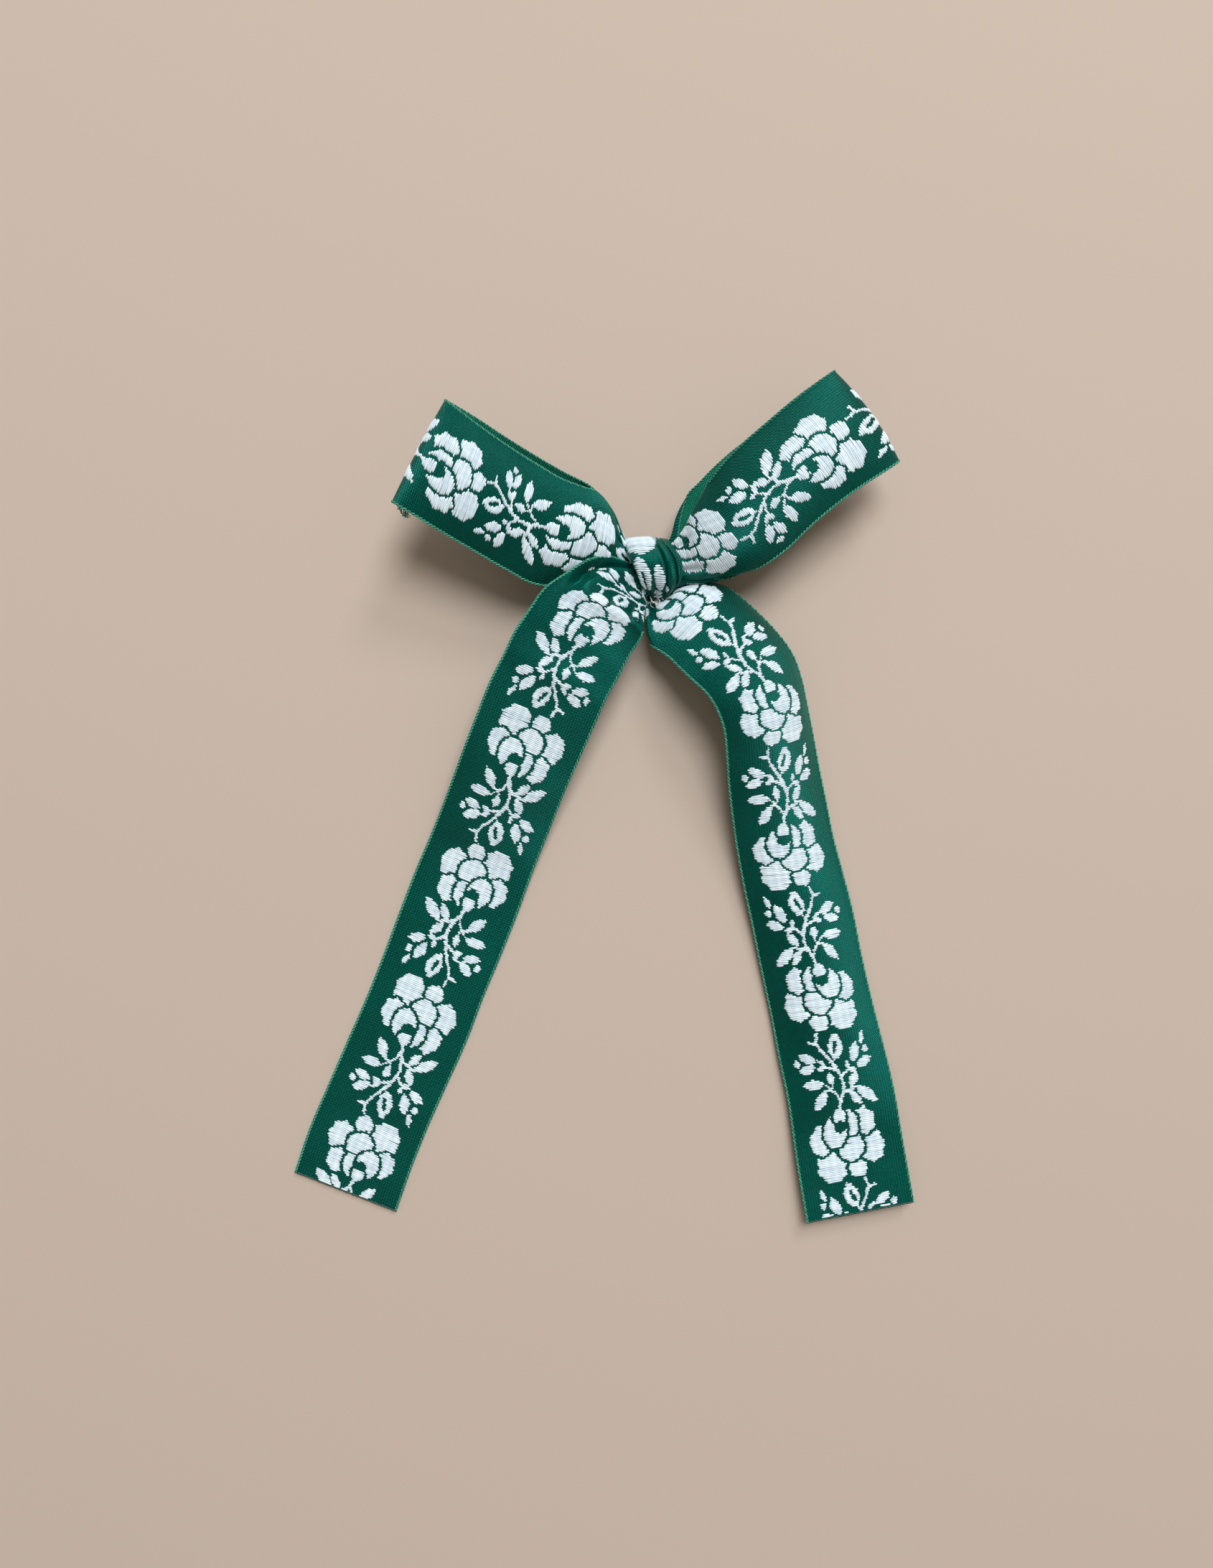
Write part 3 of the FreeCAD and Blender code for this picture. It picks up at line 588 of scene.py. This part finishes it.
def selvedge(name, leg, material, u0=None, u1=None, sides_v=(-1, 1)):
    """The bound edges: on each, two fine yarns that cross over and over like a chain."""
    u0 = leg.u[0] if u0 is None else u0
    u1 = leg.u[-1] if u1 is None else u1
    lines = []
    for sgn in sides_v:
        s = np.arange(u0, u1, 0.13)
        for ph in (0.0, math.pi):
            ang = 2 * math.pi * s / 1.7 + ph
            v = sgn * (WIDTH / 2 - 0.2 + 0.17 * np.sin(ang))
            p, n = leg.at(s, v)
            p = p + n * (0.05 + 0.14 * np.cos(ang))[:, None]
            lines.append((p, 0.155))
    return many_tubes(name, lines, material, 6)


# ------------------------------------------------------------------ materials
def nd(nt, kind, inputs=None, **props):
    n = nt.nodes.new(kind)
    for k, v in props.items():
        setattr(n, k, v)
    for key, val in (inputs or {}).items():
        if isinstance(val, bpy.types.NodeSocket):
            nt.links.new(val, n.inputs[key])
        else:
            n.inputs[key].default_value = val
    return n


def ma(nt, op, a, b=None, clamp=False):
    ins = {0: a}
    if b is not None:
        ins[1] = b
    n = nd(nt, "ShaderNodeMath", ins, operation=op)
    n.use_clamp = clamp
    return n.outputs[0]


def mix(nt, f, a, b, blend="MIX"):
    n = nd(nt, "ShaderNodeMix", data_type="RGBA", blend_type=blend)
    for k, v in ((0, f), (6, a), (7, b)):
        if isinstance(v, bpy.types.NodeSocket):
            nt.links.new(v, n.inputs[k])
        else:
            n.inputs[k].default_value = v if k == 0 else (*v, 1.0)[:4]
    return n.outputs[2]


def new_material(name):
    m = bpy.data.materials.new(name)
    m.use_nodes = True
    nt = m.node_tree
    return m, nt, nt.nodes["Principled BSDF"]


def uv_mm(nt):
    uv = nd(nt, "ShaderNodeUVMap", uv_map="UVMap")
    sep = nd(nt, "ShaderNodeSeparateXYZ", {0: uv.outputs[0]})
    u = ma(nt, "MULTIPLY", sep.outputs[0], 25.0)
    v = ma(nt, "MULTIPLY", ma(nt, "SUBTRACT", sep.outputs[1], 0.5), 25.0)
    return u, v


def wave(nt, x):
    """sin of x turns, as 0..1"""
    return ma(nt, "ADD", ma(nt, "MULTIPLY", ma(nt, "SINE", ma(nt, "MULTIPLY", x, 2 * math.pi)), 0.5), 0.5)


def position_noise(nt, scale, detail=2.0):
    co = nd(nt, "ShaderNodeTexCoord")
    n = nd(nt, "ShaderNodeTexNoise", {"Vector": co.outputs["Object"], "Scale": scale, "Detail": detail})
    return n.outputs["Fac"]


def bump(nt, height, distance, strength=1.0):
    b = nd(nt, "ShaderNodeBump", {"Height": height, "Distance": distance, "Strength": strength})
    return b.outputs[0]


def srgb(r, g, b):
    f = lambda c: (c / 255 / 12.92) if c <= 10.3 else ((c / 255 + 0.055) / 1.055) ** 2.4
    return (f(r), f(g), f(b))


def cloth_material(name, dark, light, diagonal=True, rough=0.35, sheen=0.17):
    m, nt, bsdf = new_material(name)
    u, v = uv_mm(nt)
    if diagonal:
        d = ma(nt, "ADD", ma(nt, "MULTIPLY", u, 0.80 / 0.36), ma(nt, "MULTIPLY", v, 0.60 / 0.36))
        e = ma(nt, "ADD", ma(nt, "MULTIPLY", u, -0.60 / 0.72), ma(nt, "MULTIPLY", v, 0.80 / 0.72))
        e = ma(nt, "ADD", e, ma(nt, "MULTIPLY", ma(nt, "FLOOR", d), 0.37))
        h = ma(nt, "ADD", ma(nt, "MULTIPLY", wave(nt, d), 0.62), ma(nt, "MULTIPLY", ma(nt, "MULTIPLY", wave(nt, d), wave(nt, e)), 0.38))
    else:
        d = ma(nt, "MULTIPLY", u, 1 / 0.5)
        e = ma(nt, "ADD", ma(nt, "MULTIPLY", v, 1 / 0.45), ma(nt, "MULTIPLY", ma(nt, "FLOOR", d), 0.5))
        h = ma(nt, "ADD", ma(nt, "MULTIPLY", wave(nt, d), 0.75), ma(nt, "MULTIPLY", wave(nt, e), 0.25))
    broad = position_noise(nt, 90.0)
    fine = position_noise(nt, 1400.0, 3.0)
    f = ma(nt, "ADD", ma(nt, "MULTIPLY", h, 0.85), ma(nt, "MULTIPLY", ma(nt, "SUBTRACT", fine, 0.5), 0.4))
    f = ma(nt, "ADD", f, ma(nt, "MULTIPLY", ma(nt, "SUBTRACT", broad, 0.5), 0.4), clamp=True)
    col = mix(nt, f, dark, light)
    nt.links.new(col, bsdf.inputs["Base Color"])
    nt.links.new(ma(nt, "ADD", ma(nt, "MULTIPLY", fine, 0.16), rough - 0.08), bsdf.inputs["Roughness"])
    bsdf.inputs["Specular IOR Level"].default_value = 0.75
    bsdf.inputs["Specular Tint"].default_value = (0.07, 1.0, 0.84, 1)
    bsdf.inputs["Sheen Weight"].default_value = sheen
    bsdf.inputs["Sheen Roughness"].default_value = 0.4
    bsdf.inputs["Sheen Tint"].default_value = (0.02, 0.85, 0.62, 1)
    nt.links.new(bump(nt, ma(nt, "ADD", h, ma(nt, "MULTIPLY", fine, 0.35)), 0.00012, 1.0), bsdf.inputs["Normal"])
    return m


def yarn_material(name, dark, light, plies=3.0, rough=0.45, sheen=0.3, tint=(1, 1, 1, 1)):
    """Floss or thread: lengthwise filaments, each strand a little lighter or darker."""
    m, nt, bsdf = new_material(name)
    uv = nd(nt, "ShaderNodeUVMap", uv_map="UVMap")
    sep = nd(nt, "ShaderNodeSeparateXYZ", {0: uv.outputs[0]})
    run = ma(nt, "MULTIPLY", sep.outputs[0], 25.0)
    around = sep.outputs[1]
    twist = wave(nt, ma(nt, "ADD", ma(nt, "MULTIPLY", around, plies), ma(nt, "MULTIPLY", run, 0.55)))
    tone = nd(nt, "ShaderNodeAttribute", attribute_name="tone").outputs["Fac"]
    fine = position_noise(nt, 2600.0, 2.0)
    broad = position_noise(nt, 160.0, 1.0)
    f = ma(nt, "ADD", ma(nt, "MULTIPLY", twist, 0.3), ma(nt, "MULTIPLY", fine, 0.3))
    f = ma(nt, "ADD", f, ma(nt, "ADD", ma(nt, "MULTIPLY", tone, 0.3), ma(nt, "MULTIPLY", broad, 0.3)), clamp=True)
    nt.links.new(mix(nt, f, dark, light), bsdf.inputs["Base Color"])
    bsdf.inputs["Roughness"].default_value = rough
    bsdf.inputs["Specular IOR Level"].default_value = 0.4
    bsdf.inputs["Sheen Weight"].default_value = sheen
    bsdf.inputs["Sheen Tint"].default_value = tint
    nt.links.new(bump(nt, ma(nt, "ADD", twist, ma(nt, "MULTIPLY", fine, 0.5)), 0.00004, 0.8), bsdf.inputs["Normal"])
    return m


def plain_material(name, dark, light, scale, depth, rough, spec=0.3, detail=4.0):
    m, nt, bsdf = new_material(name)
    n = position_noise(nt, scale, detail)
    n2 = position_noise(nt, scale / 9, 2.0)
    f = ma(nt, "ADD", ma(nt, "MULTIPLY", n, 0.6), ma(nt, "MULTIPLY", n2, 0.4), clamp=True)
    nt.links.new(mix(nt, f, dark, light), bsdf.inputs["Base Color"])
    bsdf.inputs["Roughness"].default_value = rough
    bsdf.inputs["Specular IOR Level"].default_value = spec
    nt.links.new(bump(nt, n, depth, 0.8), bsdf.inputs["Normal"])
    return m


GROUND = cloth_material("green_twill_face", srgb(0, 27, 22), srgb(0, 91, 77))
REVERSE = cloth_material("green_ribbed_reverse", srgb(0, 62, 46), srgb(50, 166, 132), diagonal=False, rough=0.5)
FLOSS = yarn_material("white_floss", srgb(196, 216, 230), srgb(236, 251, 255))
# the selvedge yarn's green is the ribbon's own, but its light end, far brighter than the ground cloth, is painted
# highlight: the glints on the tiny chain loops are put into its colour; the left loop's tuft uses it too
EDGE_YARN_PAINTED_GLINTS = yarn_material("green_selvedge_yarn_painted_glints", srgb(0, 66, 50), srgb(80, 180, 150), plies=2.0, tint=(0.3, 1, 0.8, 1))
SEALED = plain_material("sealed_cut_edge", srgb(0, 36, 26), srgb(4, 66, 48), 1500.0, 0.00008, 0.35, 0.5)
THREAD = yarn_material("sewing_thread", srgb(206, 205, 200), srgb(244, 243, 240))
FOAM = plain_material("white_foam", srgb(214, 213, 206), srgb(244, 243, 238), 2200.0, 0.00012, 0.85, 0.2, 6.0)
PAPER = plain_material("release_paper", srgb(214, 196, 164), srgb(236, 222, 196), 900.0, 0.00002, 0.38, 0.5)

# ------------------------------------------------------------------- the legs
ramp = lambda u, a, b: np.clip((u - a) / (b - a), 0, 1)
LEGS = {
    "left_tail": Leg(LEFT_TAIL, share=0.06, gain=0.8,
                     dips=[(-12.0, 8.0, 0.15, 0.08, -3.6), (-13.0, 7.0, 0.84, 0.03, -0.8), (-14.0, 7.0, 0.93, 0.025, -0.7),
                           (-22, 5, 0.5, 0.08, -0.8)]),
    "right_tail": Leg(RIGHT_TAIL, share=0.4, gain=0.9, skew=lambda u: -0.25 * ramp(u, 40, 70) + 0.5 * ramp(u, 84, 102) + 0.6 * ramp(u, 104, 126),
                      dips=[(144, 5, 0.86, 0.06, -0.9), (146, 5, 0.2, 0.07, -0.8)]),
    "left_loop": Leg(LEFT_LOOP, share=0.4, gain=0.7, blur=0.9,
                     dips=[(24, 4, 0.78, 0.08, -1.0), (23, 4, 0.25, 0.08, -0.7)]),
    "right_loop": Leg(RIGHT_LOOP, share=lambda u: 0.4 + 0.35 * ramp(u, 0, 20), gain=0.7, blur=1.3,
                      dips=[(39, 4, 0.2, 0.08, -0.9), (39, 4, 0.8, 0.08, -0.8)]),
}
LEGS["right_loop"].shift = 0.7


def azimuth_point(deg, out, z):
    a = math.radians(deg)
    return (out * math.cos(a) * MM, out * math.sin(a) * MM, z * MM)


def mid_point(leg, u):
    p, _ = leg.at(u, 0.0)
    return tuple(float(c) * MM for c in p)


BENDS = {
    "left_tail": (mid_point(LEGS["left_tail"], 6.0), mid_point(LEGS["left_tail"], 24.0)),
    "right_tail": (mid_point(LEGS["right_tail"], 135.5), mid_point(LEGS["right_tail"], 117.0)),
    "left_loop": (azimuth_point(153.5, 16.0, 11.7), azimuth_point(153.5, 32.0, 11.7)),
    "right_loop": (azimuth_point(35.5, 16.0, 9.75), azimuth_point(35.5, 32.0, 9.75)),
}
for name, leg in LEGS.items():
    ribbon = slab(name + "_ribbon", leg, [GROUND, REVERSE])
    rows = leg.trim(rows_for(leg, leg.u[0] + 0.4, leg.u[-1] - 0.3))
    if name == "left_tail":  # plain cloth in the small pleats beside the knot
        rows = [r for r in rows if not (r[0] < -4.5 and r[2] > 8.2) and r[0] > -27]
    flowers = threads(name + "_flowers", leg, rows, FLOSS, width=0.47)
    edges = selvedge(name + "_selvedges", leg, EDGE_YARN_PAINTED_GLINTS)
    parts = [ribbon, flowers, edges]
    if name.endswith("tail"):  # the cut end, sealed by heat
        end = leg.u[-1] if name == "left_tail" else leg.u[0]
        v = np.linspace(-WIDTH / 2, WIDTH / 2, 120)
        p, n = leg.at(np.full(v.shape, end), v)
        r = 0.2 + 0.05 * np.sin(v * 5.1) * np.sin(v * 2.3 + 1) + 0.02 * rng.normal(size=v.shape)
        parts.append(tube(name + "_sealed_end", p, r, SEALED, 8))
    for o in parts:
        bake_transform(o)
    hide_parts(name)


# ------------------------------------------------------------------- the knot
class Patch(Leg):
    def __init__(self, p, u, v):
        self.p, self.u, self.v, self.step = p, u, v, u[1] - u[0]
        self.recompute()


def make_wrap():
    a = np.array([s[0] for s in WRAP] + [WRAP[0][0]])
    b = np.array([s[1] for s in WRAP] + [WRAP[0][1]])
    mid = (a + b) / 2
    g = np.concatenate([[0], np.cumsum(np.linalg.norm(np.diff(mid, axis=0), axis=1))])
    total = g[-1]
    gg = np.concatenate([g[-4:-1] - total, g, g[1:4] + total])
    aa, bb = np.concatenate([a[-4:-1], a, a[1:4]]), np.concatenate([b[-4:-1], b, b[1:4]])
    u = np.linspace(0, total, 221)
    fine = np.linspace(-6, total + 6, 900)
    ra, rb = smooth(through(gg, aa, fine), 9), smooth(through(gg, bb, fine), 9)
    ra = np.stack([np.interp(u, fine, ra[:, k]) for k in range(3)], 1)
    rb = np.stack([np.interp(u, fine, rb[:, k]) for k in range(3)], 1)
    ra[-1], rb[-1] = ra[0], rb[0]
    across = unit(rb - ra)
    along = unit(np.gradient((ra + rb) / 2, axis=0))
    along[0] = along[-1] = unit(along[0] + along[-1])
    normal = unit(np.cross(along, across))
    q = np.linspace(0, 1, 133)
    uu = u[:, None]
    front = np.clip(1 - ((uu - 9.5) / 11.5) ** 2, 0, 1) ** 0.5   # 1 over the crown, 0 on the back
    w = np.linalg.norm(rb - ra, axis=1)[:, None]
    y = 0.9 * (1 - (2 * q[None] - 1) ** 2) * front * np.clip(w / 9, 0.5, 1)
    y = y - 1.1 * np.exp(-((1 - q[None]) / 0.05) ** 2) * 0.6 - 0.7 * np.exp(-(q[None] / 0.05) ** 2)
    c1 = np.interp(uu, [0, 3.0, 6.4, 9.2, 11.2, 13.6, 19], [0.59, 0.62, 0.65, 0.66, 0.655, 0.67, 0.72])
    c2 = np.interp(uu, [0, 2.5, 5.2, 7.8, 10.2, 13.6, 19], [0.72, 0.75, 0.825, 0.862, 0.865, 0.92, 0.95])
    y = y - 1.0 * np.exp(-((q[None] - c1) / 0.02) ** 2) * front
    y = y - 1.7 * np.exp(-((q[None] - c2) / 0.02) ** 2) * front
    y = y + 0.30 * np.exp(-((q[None] - (c1 + c2) / 2) / 0.05) ** 2) * front
    y = y + 0.22 * np.exp(-((q[None] - c1 + 0.07) / 0.04) ** 2) * front
    # shallow pulls towards the pinch at the bottom
    low = np.exp(-(((uu - 15.5) / 3.2) ** 2))
    for k, (qc, amp) in enumerate(((0.16, 0.5), (0.40, 0.55), (0.62, 0.45))):
        y = y - amp * np.exp(-((q[None] - qc) / 0.05) ** 2) * low
    p = ra[:, None] + (rb - ra)[:, None] * q[None, :, None] + normal[:, None] * y[..., None]
    return Patch(p, u, q * 11.0)


wrap = make_wrap()


def wrap_motif(x, y):
    white = ellipse(x, y, 1.3, 2.8, 5.7, 4.5, 0, 0, 9, 0.02)
    white |= leaf(x, y, 7.6, 1.6, 15.6, 1.8, 3.7, 0, 0.4) & ~stem(x, y, [(10.8, 1.5), (15.2, 1.7)], 0.36, 0.3)
    white |= leaf(x, y, 9.2, 5.3, 15.0, 5.7, 3.0, 0, 0.45)
    white |= ellipse(x, y, 16.0, 4.9, 0.8, 1.6) | ellipse(x, y, 14.8, 7.8, 0.9, 0.7) | ellipse(x, y, 17.6, 5.4, 0.6, 2.2)
    return white


wrap_rows = []
for k in range(0, 40):
    u = k * 0.45 + 0.1
    y = np.arange(0.15, 10.8, 0.06)
    hit = wrap_motif(np.full(y.shape, u), y).astype(int)
    edge = np.flatnonzero(np.diff(np.concatenate([[0], hit, [0]])))
    for i, j in zip(edge[::2], edge[1::2]):
        if y[j - 1] - y[i] > 0.35:
            wrap_rows.append((u, y[i] + rng.uniform(-0.15, 0.1), y[j - 1] + rng.uniform(-0.1, 0.15), rng.uniform(-1, 1)))
knot = slab("knot_wrap_ribbon", wrap, [GROUND, REVERSE])
knot_flowers = threads("knot_wrap_flowers", wrap, wrap_rows, FLOSS, width=0.42)
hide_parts("knot_wrap")

# the pinched middle of the loops and tails, seen in the mouths of the band
turn = math.radians(12)
BORE = np.array([math.cos(turn), math.sin(turn), 0.0])
DEPTH = np.array([-math.sin(turn), math.cos(turn), 0.0])
xs = np.linspace(-7.2, 6.8, 60)
ang = np.linspace(0, 2 * np.pi, 145)[:-1]
rings = []
for x in xs:
    pinch = 1.0 - 0.28 * abs(x / 7.2) ** 2 - 0.17 * math.exp(-((x / 1.9) ** 4))  # the thread bites in
    r = 1 + 0.11 * np.cos(9 * ang + 0.12 * x) + 0.05 * np.cos(4 * ang - 0.2 * x + 1)
    cy, cz = -0.4 - 0.5 * (x / 7) ** 2, 7.0
    rings.append(BORE * x + DEPTH * (cy + 4.0 * pinch * r * np.cos(ang))[:, None] + np.array([0, 0, 1.0]) * (cz + 3.5 * pinch * r * np.sin(ang))[:, None])
core_v = np.concatenate(rings)
nr = len(ang)
i, j = np.meshgrid(np.arange(len(xs) - 1), np.arange(nr), indexing="ij")
core_f = np.stack([i * nr + j, i * nr + (j + 1) % nr, (i + 1) * nr + (j + 1) % nr, (i + 1) * nr + j], -1).reshape(-1, 4).tolist()
core_v = np.concatenate([core_v, [rings[0].mean(0), rings[-1].mean(0)]])
core_f += [[len(core_v) - 2, (k + 1) % nr, k] for k in range(nr)]
core_f += [[len(core_v) - 1, (len(xs) - 1) * nr + k, (len(xs) - 1) * nr + (k + 1) % nr] for k in range(nr)]
core_uv = np.stack([np.concatenate([np.repeat(xs, nr), [xs[0], xs[-1]]]) / 25, np.concatenate([np.tile(ang, len(xs)), [0, 0]]) * 3.8 / 25], -1)
core = mesh_object("pinched_pleats", core_v, core_f, GROUND, core_uv)
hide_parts("loop_gather", "tail_gather")
# the thread is wound side by side round the narrow middle, then crosses back
coil = []
for k, a in enumerate(np.linspace(0, 2 * np.pi * 11, 11 * 40)):
    x = -1.45 + 2.9 * k / 439 if k < 400 else 1.2 - 2.2 * (k - 400) / 39
    out = 1.02 + 0.012 * math.sin(a * 0.37) + (0.05 if k >= 400 else 0.0)
    coil.append(BORE * x + DEPTH * (-0.4 + 4.0 * 0.88 * out * math.cos(a)) + np.array([0, 0, 7.0 + 3.5 * 0.88 * out * math.sin(a)]))
winding = many_tubes("wound_thread", [(np.array(coil), 0.14)], THREAD, 6)
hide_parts("binding_thread")


def wisp(points, seed):
    """A loose end of yarn: a soft curve through a few points."""
    pts = np.array(points, float)
    t = np.arange(len(pts)) * 1.0
    return through(t, pts, np.linspace(0, len(pts) - 1, 14 * len(pts)))


loose = many_tubes("loose_threads", [
    (wisp([(-0.6, -5.2, 7.4), (-0.2, -6.3, 7.9), (0.6, -6.8, 7.6), (0.9, -8.0, 6.9)], 0), 0.16),
    (wisp([(0.9, -5.4, 7.6), (1.5, -6.2, 7.7), (1.2, -6.9, 7.2), (0.2, -6.5, 7.6)], 1), 0.15),
    (wisp([(1.9, -5.4, 7.2), (2.6, -6.1, 7.2), (2.3, -6.9, 6.7)], 2), 0.14),
    (wisp([(-0.2, -5.4, 6.6), (-0.5, -6.9, 6.4), (0.3, -7.7, 6.2), (0.4, -8.9, 5.6)], 3), 0.12),
], THREAD, 6)
frayed = []
for k in range(22):  # a small fuzzy tuft where the left loop's lower edge turns over at its tip
    s = (k % 11) / 10
    x, y = -55.6 + 2.3 * s + rng.normal(0, 0.15), 12.7 - 1.4 * s + rng.normal(0, 0.1)
    reach = 0.75 + 0.8 * math.sin(math.pi * s) + rng.uniform(-0.25, 0.25)
    lean, lift = rng.uniform(-0.9, 0.9), rng.uniform(-0.6, 0.5)
    frayed.append((wisp([(x, y, 19.9), (x + 0.45 * lean, y - 0.45 * reach, 19.6 + 0.5 * lift), (x + 0.25 * lean, y - 0.85 * reach, 19.3 + lift), (x + 0.9 * lean + 0.15, y - 1.1 * reach, 19.0 + 1.2 * lift)], k), 0.07))
tuft = many_tubes("left_loop_tuft", frayed, EDGE_YARN_PAINTED_GLINTS, 5)
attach(tuft, "left_loop_body")
for o in (knot, knot_flowers, core, loose, winding):
    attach(o, "knot")
knot, knot_flowers, core, loose, winding

# ------------------------------------------------------------------- the back
lo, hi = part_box("adhesive_pad")


def rounded_pad(name, lo, hi, r, bulge, n=40, layers=9):
    """A soft-edged foam square: its sides bow out a little between top and bottom."""
    cx, cy = (lo[0] + hi[0]) / 2, (lo[1] + hi[1]) / 2
    hx, hy = (hi[0] - lo[0]) / 2, (hi[1] - lo[1]) / 2
    out = []
    for cxs, cys, a0 in ((1, 1, 0), (-1, 1, 90), (-1, -1, 180), (1, -1, 270)):
        for a in np.radians(a0 + np.linspace(0, 90, 9)):
            out.append(((hx - r) * cxs + r * math.cos(a), (hy - r) * cys + r * math.sin(a)))
    out = np.array(out)
    # even points round the outline, for small uneven pulls
    ring = []
    for s in range(len(out)):
        p, q = out[s], out[(s + 1) % len(out)]
        k = max(1, int(np.linalg.norm(q - p) / 0.00035))
        ring += [p + (q - p) * t for t in np.arange(k) / k]
    ring = np.array(ring)
    m = len(ring)
    verts, faces = [], []
    z0, z1 = lo[2], hi[2]
    for L in range(layers):
        t = L / (layers - 1)
        inset = 0.00012 * (2 * abs(t - 0.5)) ** 6 + 0.00004 * (1 - math.sin(math.pi * t))
        jig = 0.00002 * np.sin(np.arange(m) * 0.9 + L * 2.1) * np.sin(np.arange(m) * 0.37 + L)
        s = 1 - (inset + np.abs(jig)) / hx
        verts.append(np.column_stack([ring * (s[:, None] if np.ndim(s) else s) + (cx, cy), np.full(m, z0 + (z1 - z0) * t)]))
    for L in range(layers - 1):
        for k in range(m):
            faces.append([L * m + k, L * m + (k + 1) % m, (L + 1) * m + (k + 1) % m, (L + 1) * m + k])
    for L, flip in ((0, True), (layers - 1, False)):  # caps, as rings that close on the middle
        base = L * m
        prev = list(range(base, base + m))
        edge = verts[L]
        for shrink in (0.8, 0.55, 0.3, 0.1):
            mid = np.array([cx, cy])
            pts = mid + (edge[:, :2] - mid) * shrink
            start = sum(len(v) for v in verts)
            verts.append(np.column_stack([pts, np.full(m, edge[0, 2])]))
            cur = list(range(start, start + m))
            for k in range(m):
                f = [prev[k], prev[(k + 1) % m], cur[(k + 1) % m], cur[k]]
                faces.append(f[::-1] if flip else f)
            prev = cur
        start = sum(len(v) for v in verts)
        verts.append(np.array([[cx, cy, edge[0, 2]]]))
        for k in range(m):
            f = [prev[k], prev[(k + 1) % m], start]
            faces.append(f[::-1] if flip else f)
    v = np.concatenate(verts) * 1000
    return mesh_object(name, v, faces, FOAM, np.column_stack([v[:, 0], v[:, 1]]) / 25)


pad = rounded_pad("foam_pad", lo, hi, 0.0012, 0.0001)
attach(pad, "knot")
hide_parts("adhesive_pad")

for node, material in (("release_liner", PAPER),):
    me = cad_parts[node].data
    me.materials.clear()
    me.materials.append(material)

# ---------------------------------------------------------- stage and camera
floor_me = bpy.data.meshes.new("floor")
s = 3.0
floor_me.from_pydata([(-s, -s, -0.0002), (s, -s, -0.0002), (s, s, -0.0002), (-s, s, -0.0002)], [], [(0, 1, 2, 3)])
floor = bpy.data.objects.new("floor", floor_me)
bpy.context.scene.collection.objects.link(floor)
fm, fnt, fb = new_material("pale_floor")
fb.inputs["Base Color"].default_value = (*srgb(193, 178, 165), 1)
fb.inputs["Roughness"].default_value = 0.9
fb.inputs["Specular IOR Level"].default_value = 0.15
floor_me.materials.append(fm)


def area_light(name, where, target, size, power, colour):
    data = bpy.data.lights.new(name, "AREA")
    data.shape = "DISK"
    data.size, data.energy, data.color = size, power, colour
    o = bpy.data.objects.new(name, data)
    bpy.context.scene.collection.objects.link(o)
    o.location = where
    from mathutils import Vector
    o.rotation_mode = "QUATERNION"
    o.rotation_quaternion = (Vector(target) - Vector(where)).to_track_quat("-Z", "Y")
    return o


area_light("window_high", (0.34, 0.92, 2.0), (-0.01, -0.04, 0.0), 1.15, 40.0, (0.96, 0.98, 1.0))
area_light("window_low", (0.72, 1.60, 1.40), (-0.01, -0.04, 0.0), 0.6, 13.0, (0.98, 0.985, 1.0))
world = bpy.data.worlds.new("studio")
bpy.context.scene.world = world
world.use_nodes = True
world.node_tree.nodes["Background"].inputs[0].default_value = (1.0, 0.88, 0.76, 1)
world.node_tree.nodes["Background"].inputs[1].default_value = 0.3
bpy.context.scene.view_settings.view_transform = "Standard"

cam_data = bpy.data.cameras.new("camera")
cam = bpy.data.objects.new("camera", cam_data)
bpy.context.scene.collection.objects.link(cam)
cam_data.sensor_width = 36.0
cam_data.lens = 18.0 / (182.0 / 280.0)
cam_data.clip_start, cam_data.clip_end = 0.01, 20.0
cam.location = (-0.0105, -0.0475, 0.28)
cam.rotation_euler = (0, 0, 0)
bpy.context.scene.camera = cam
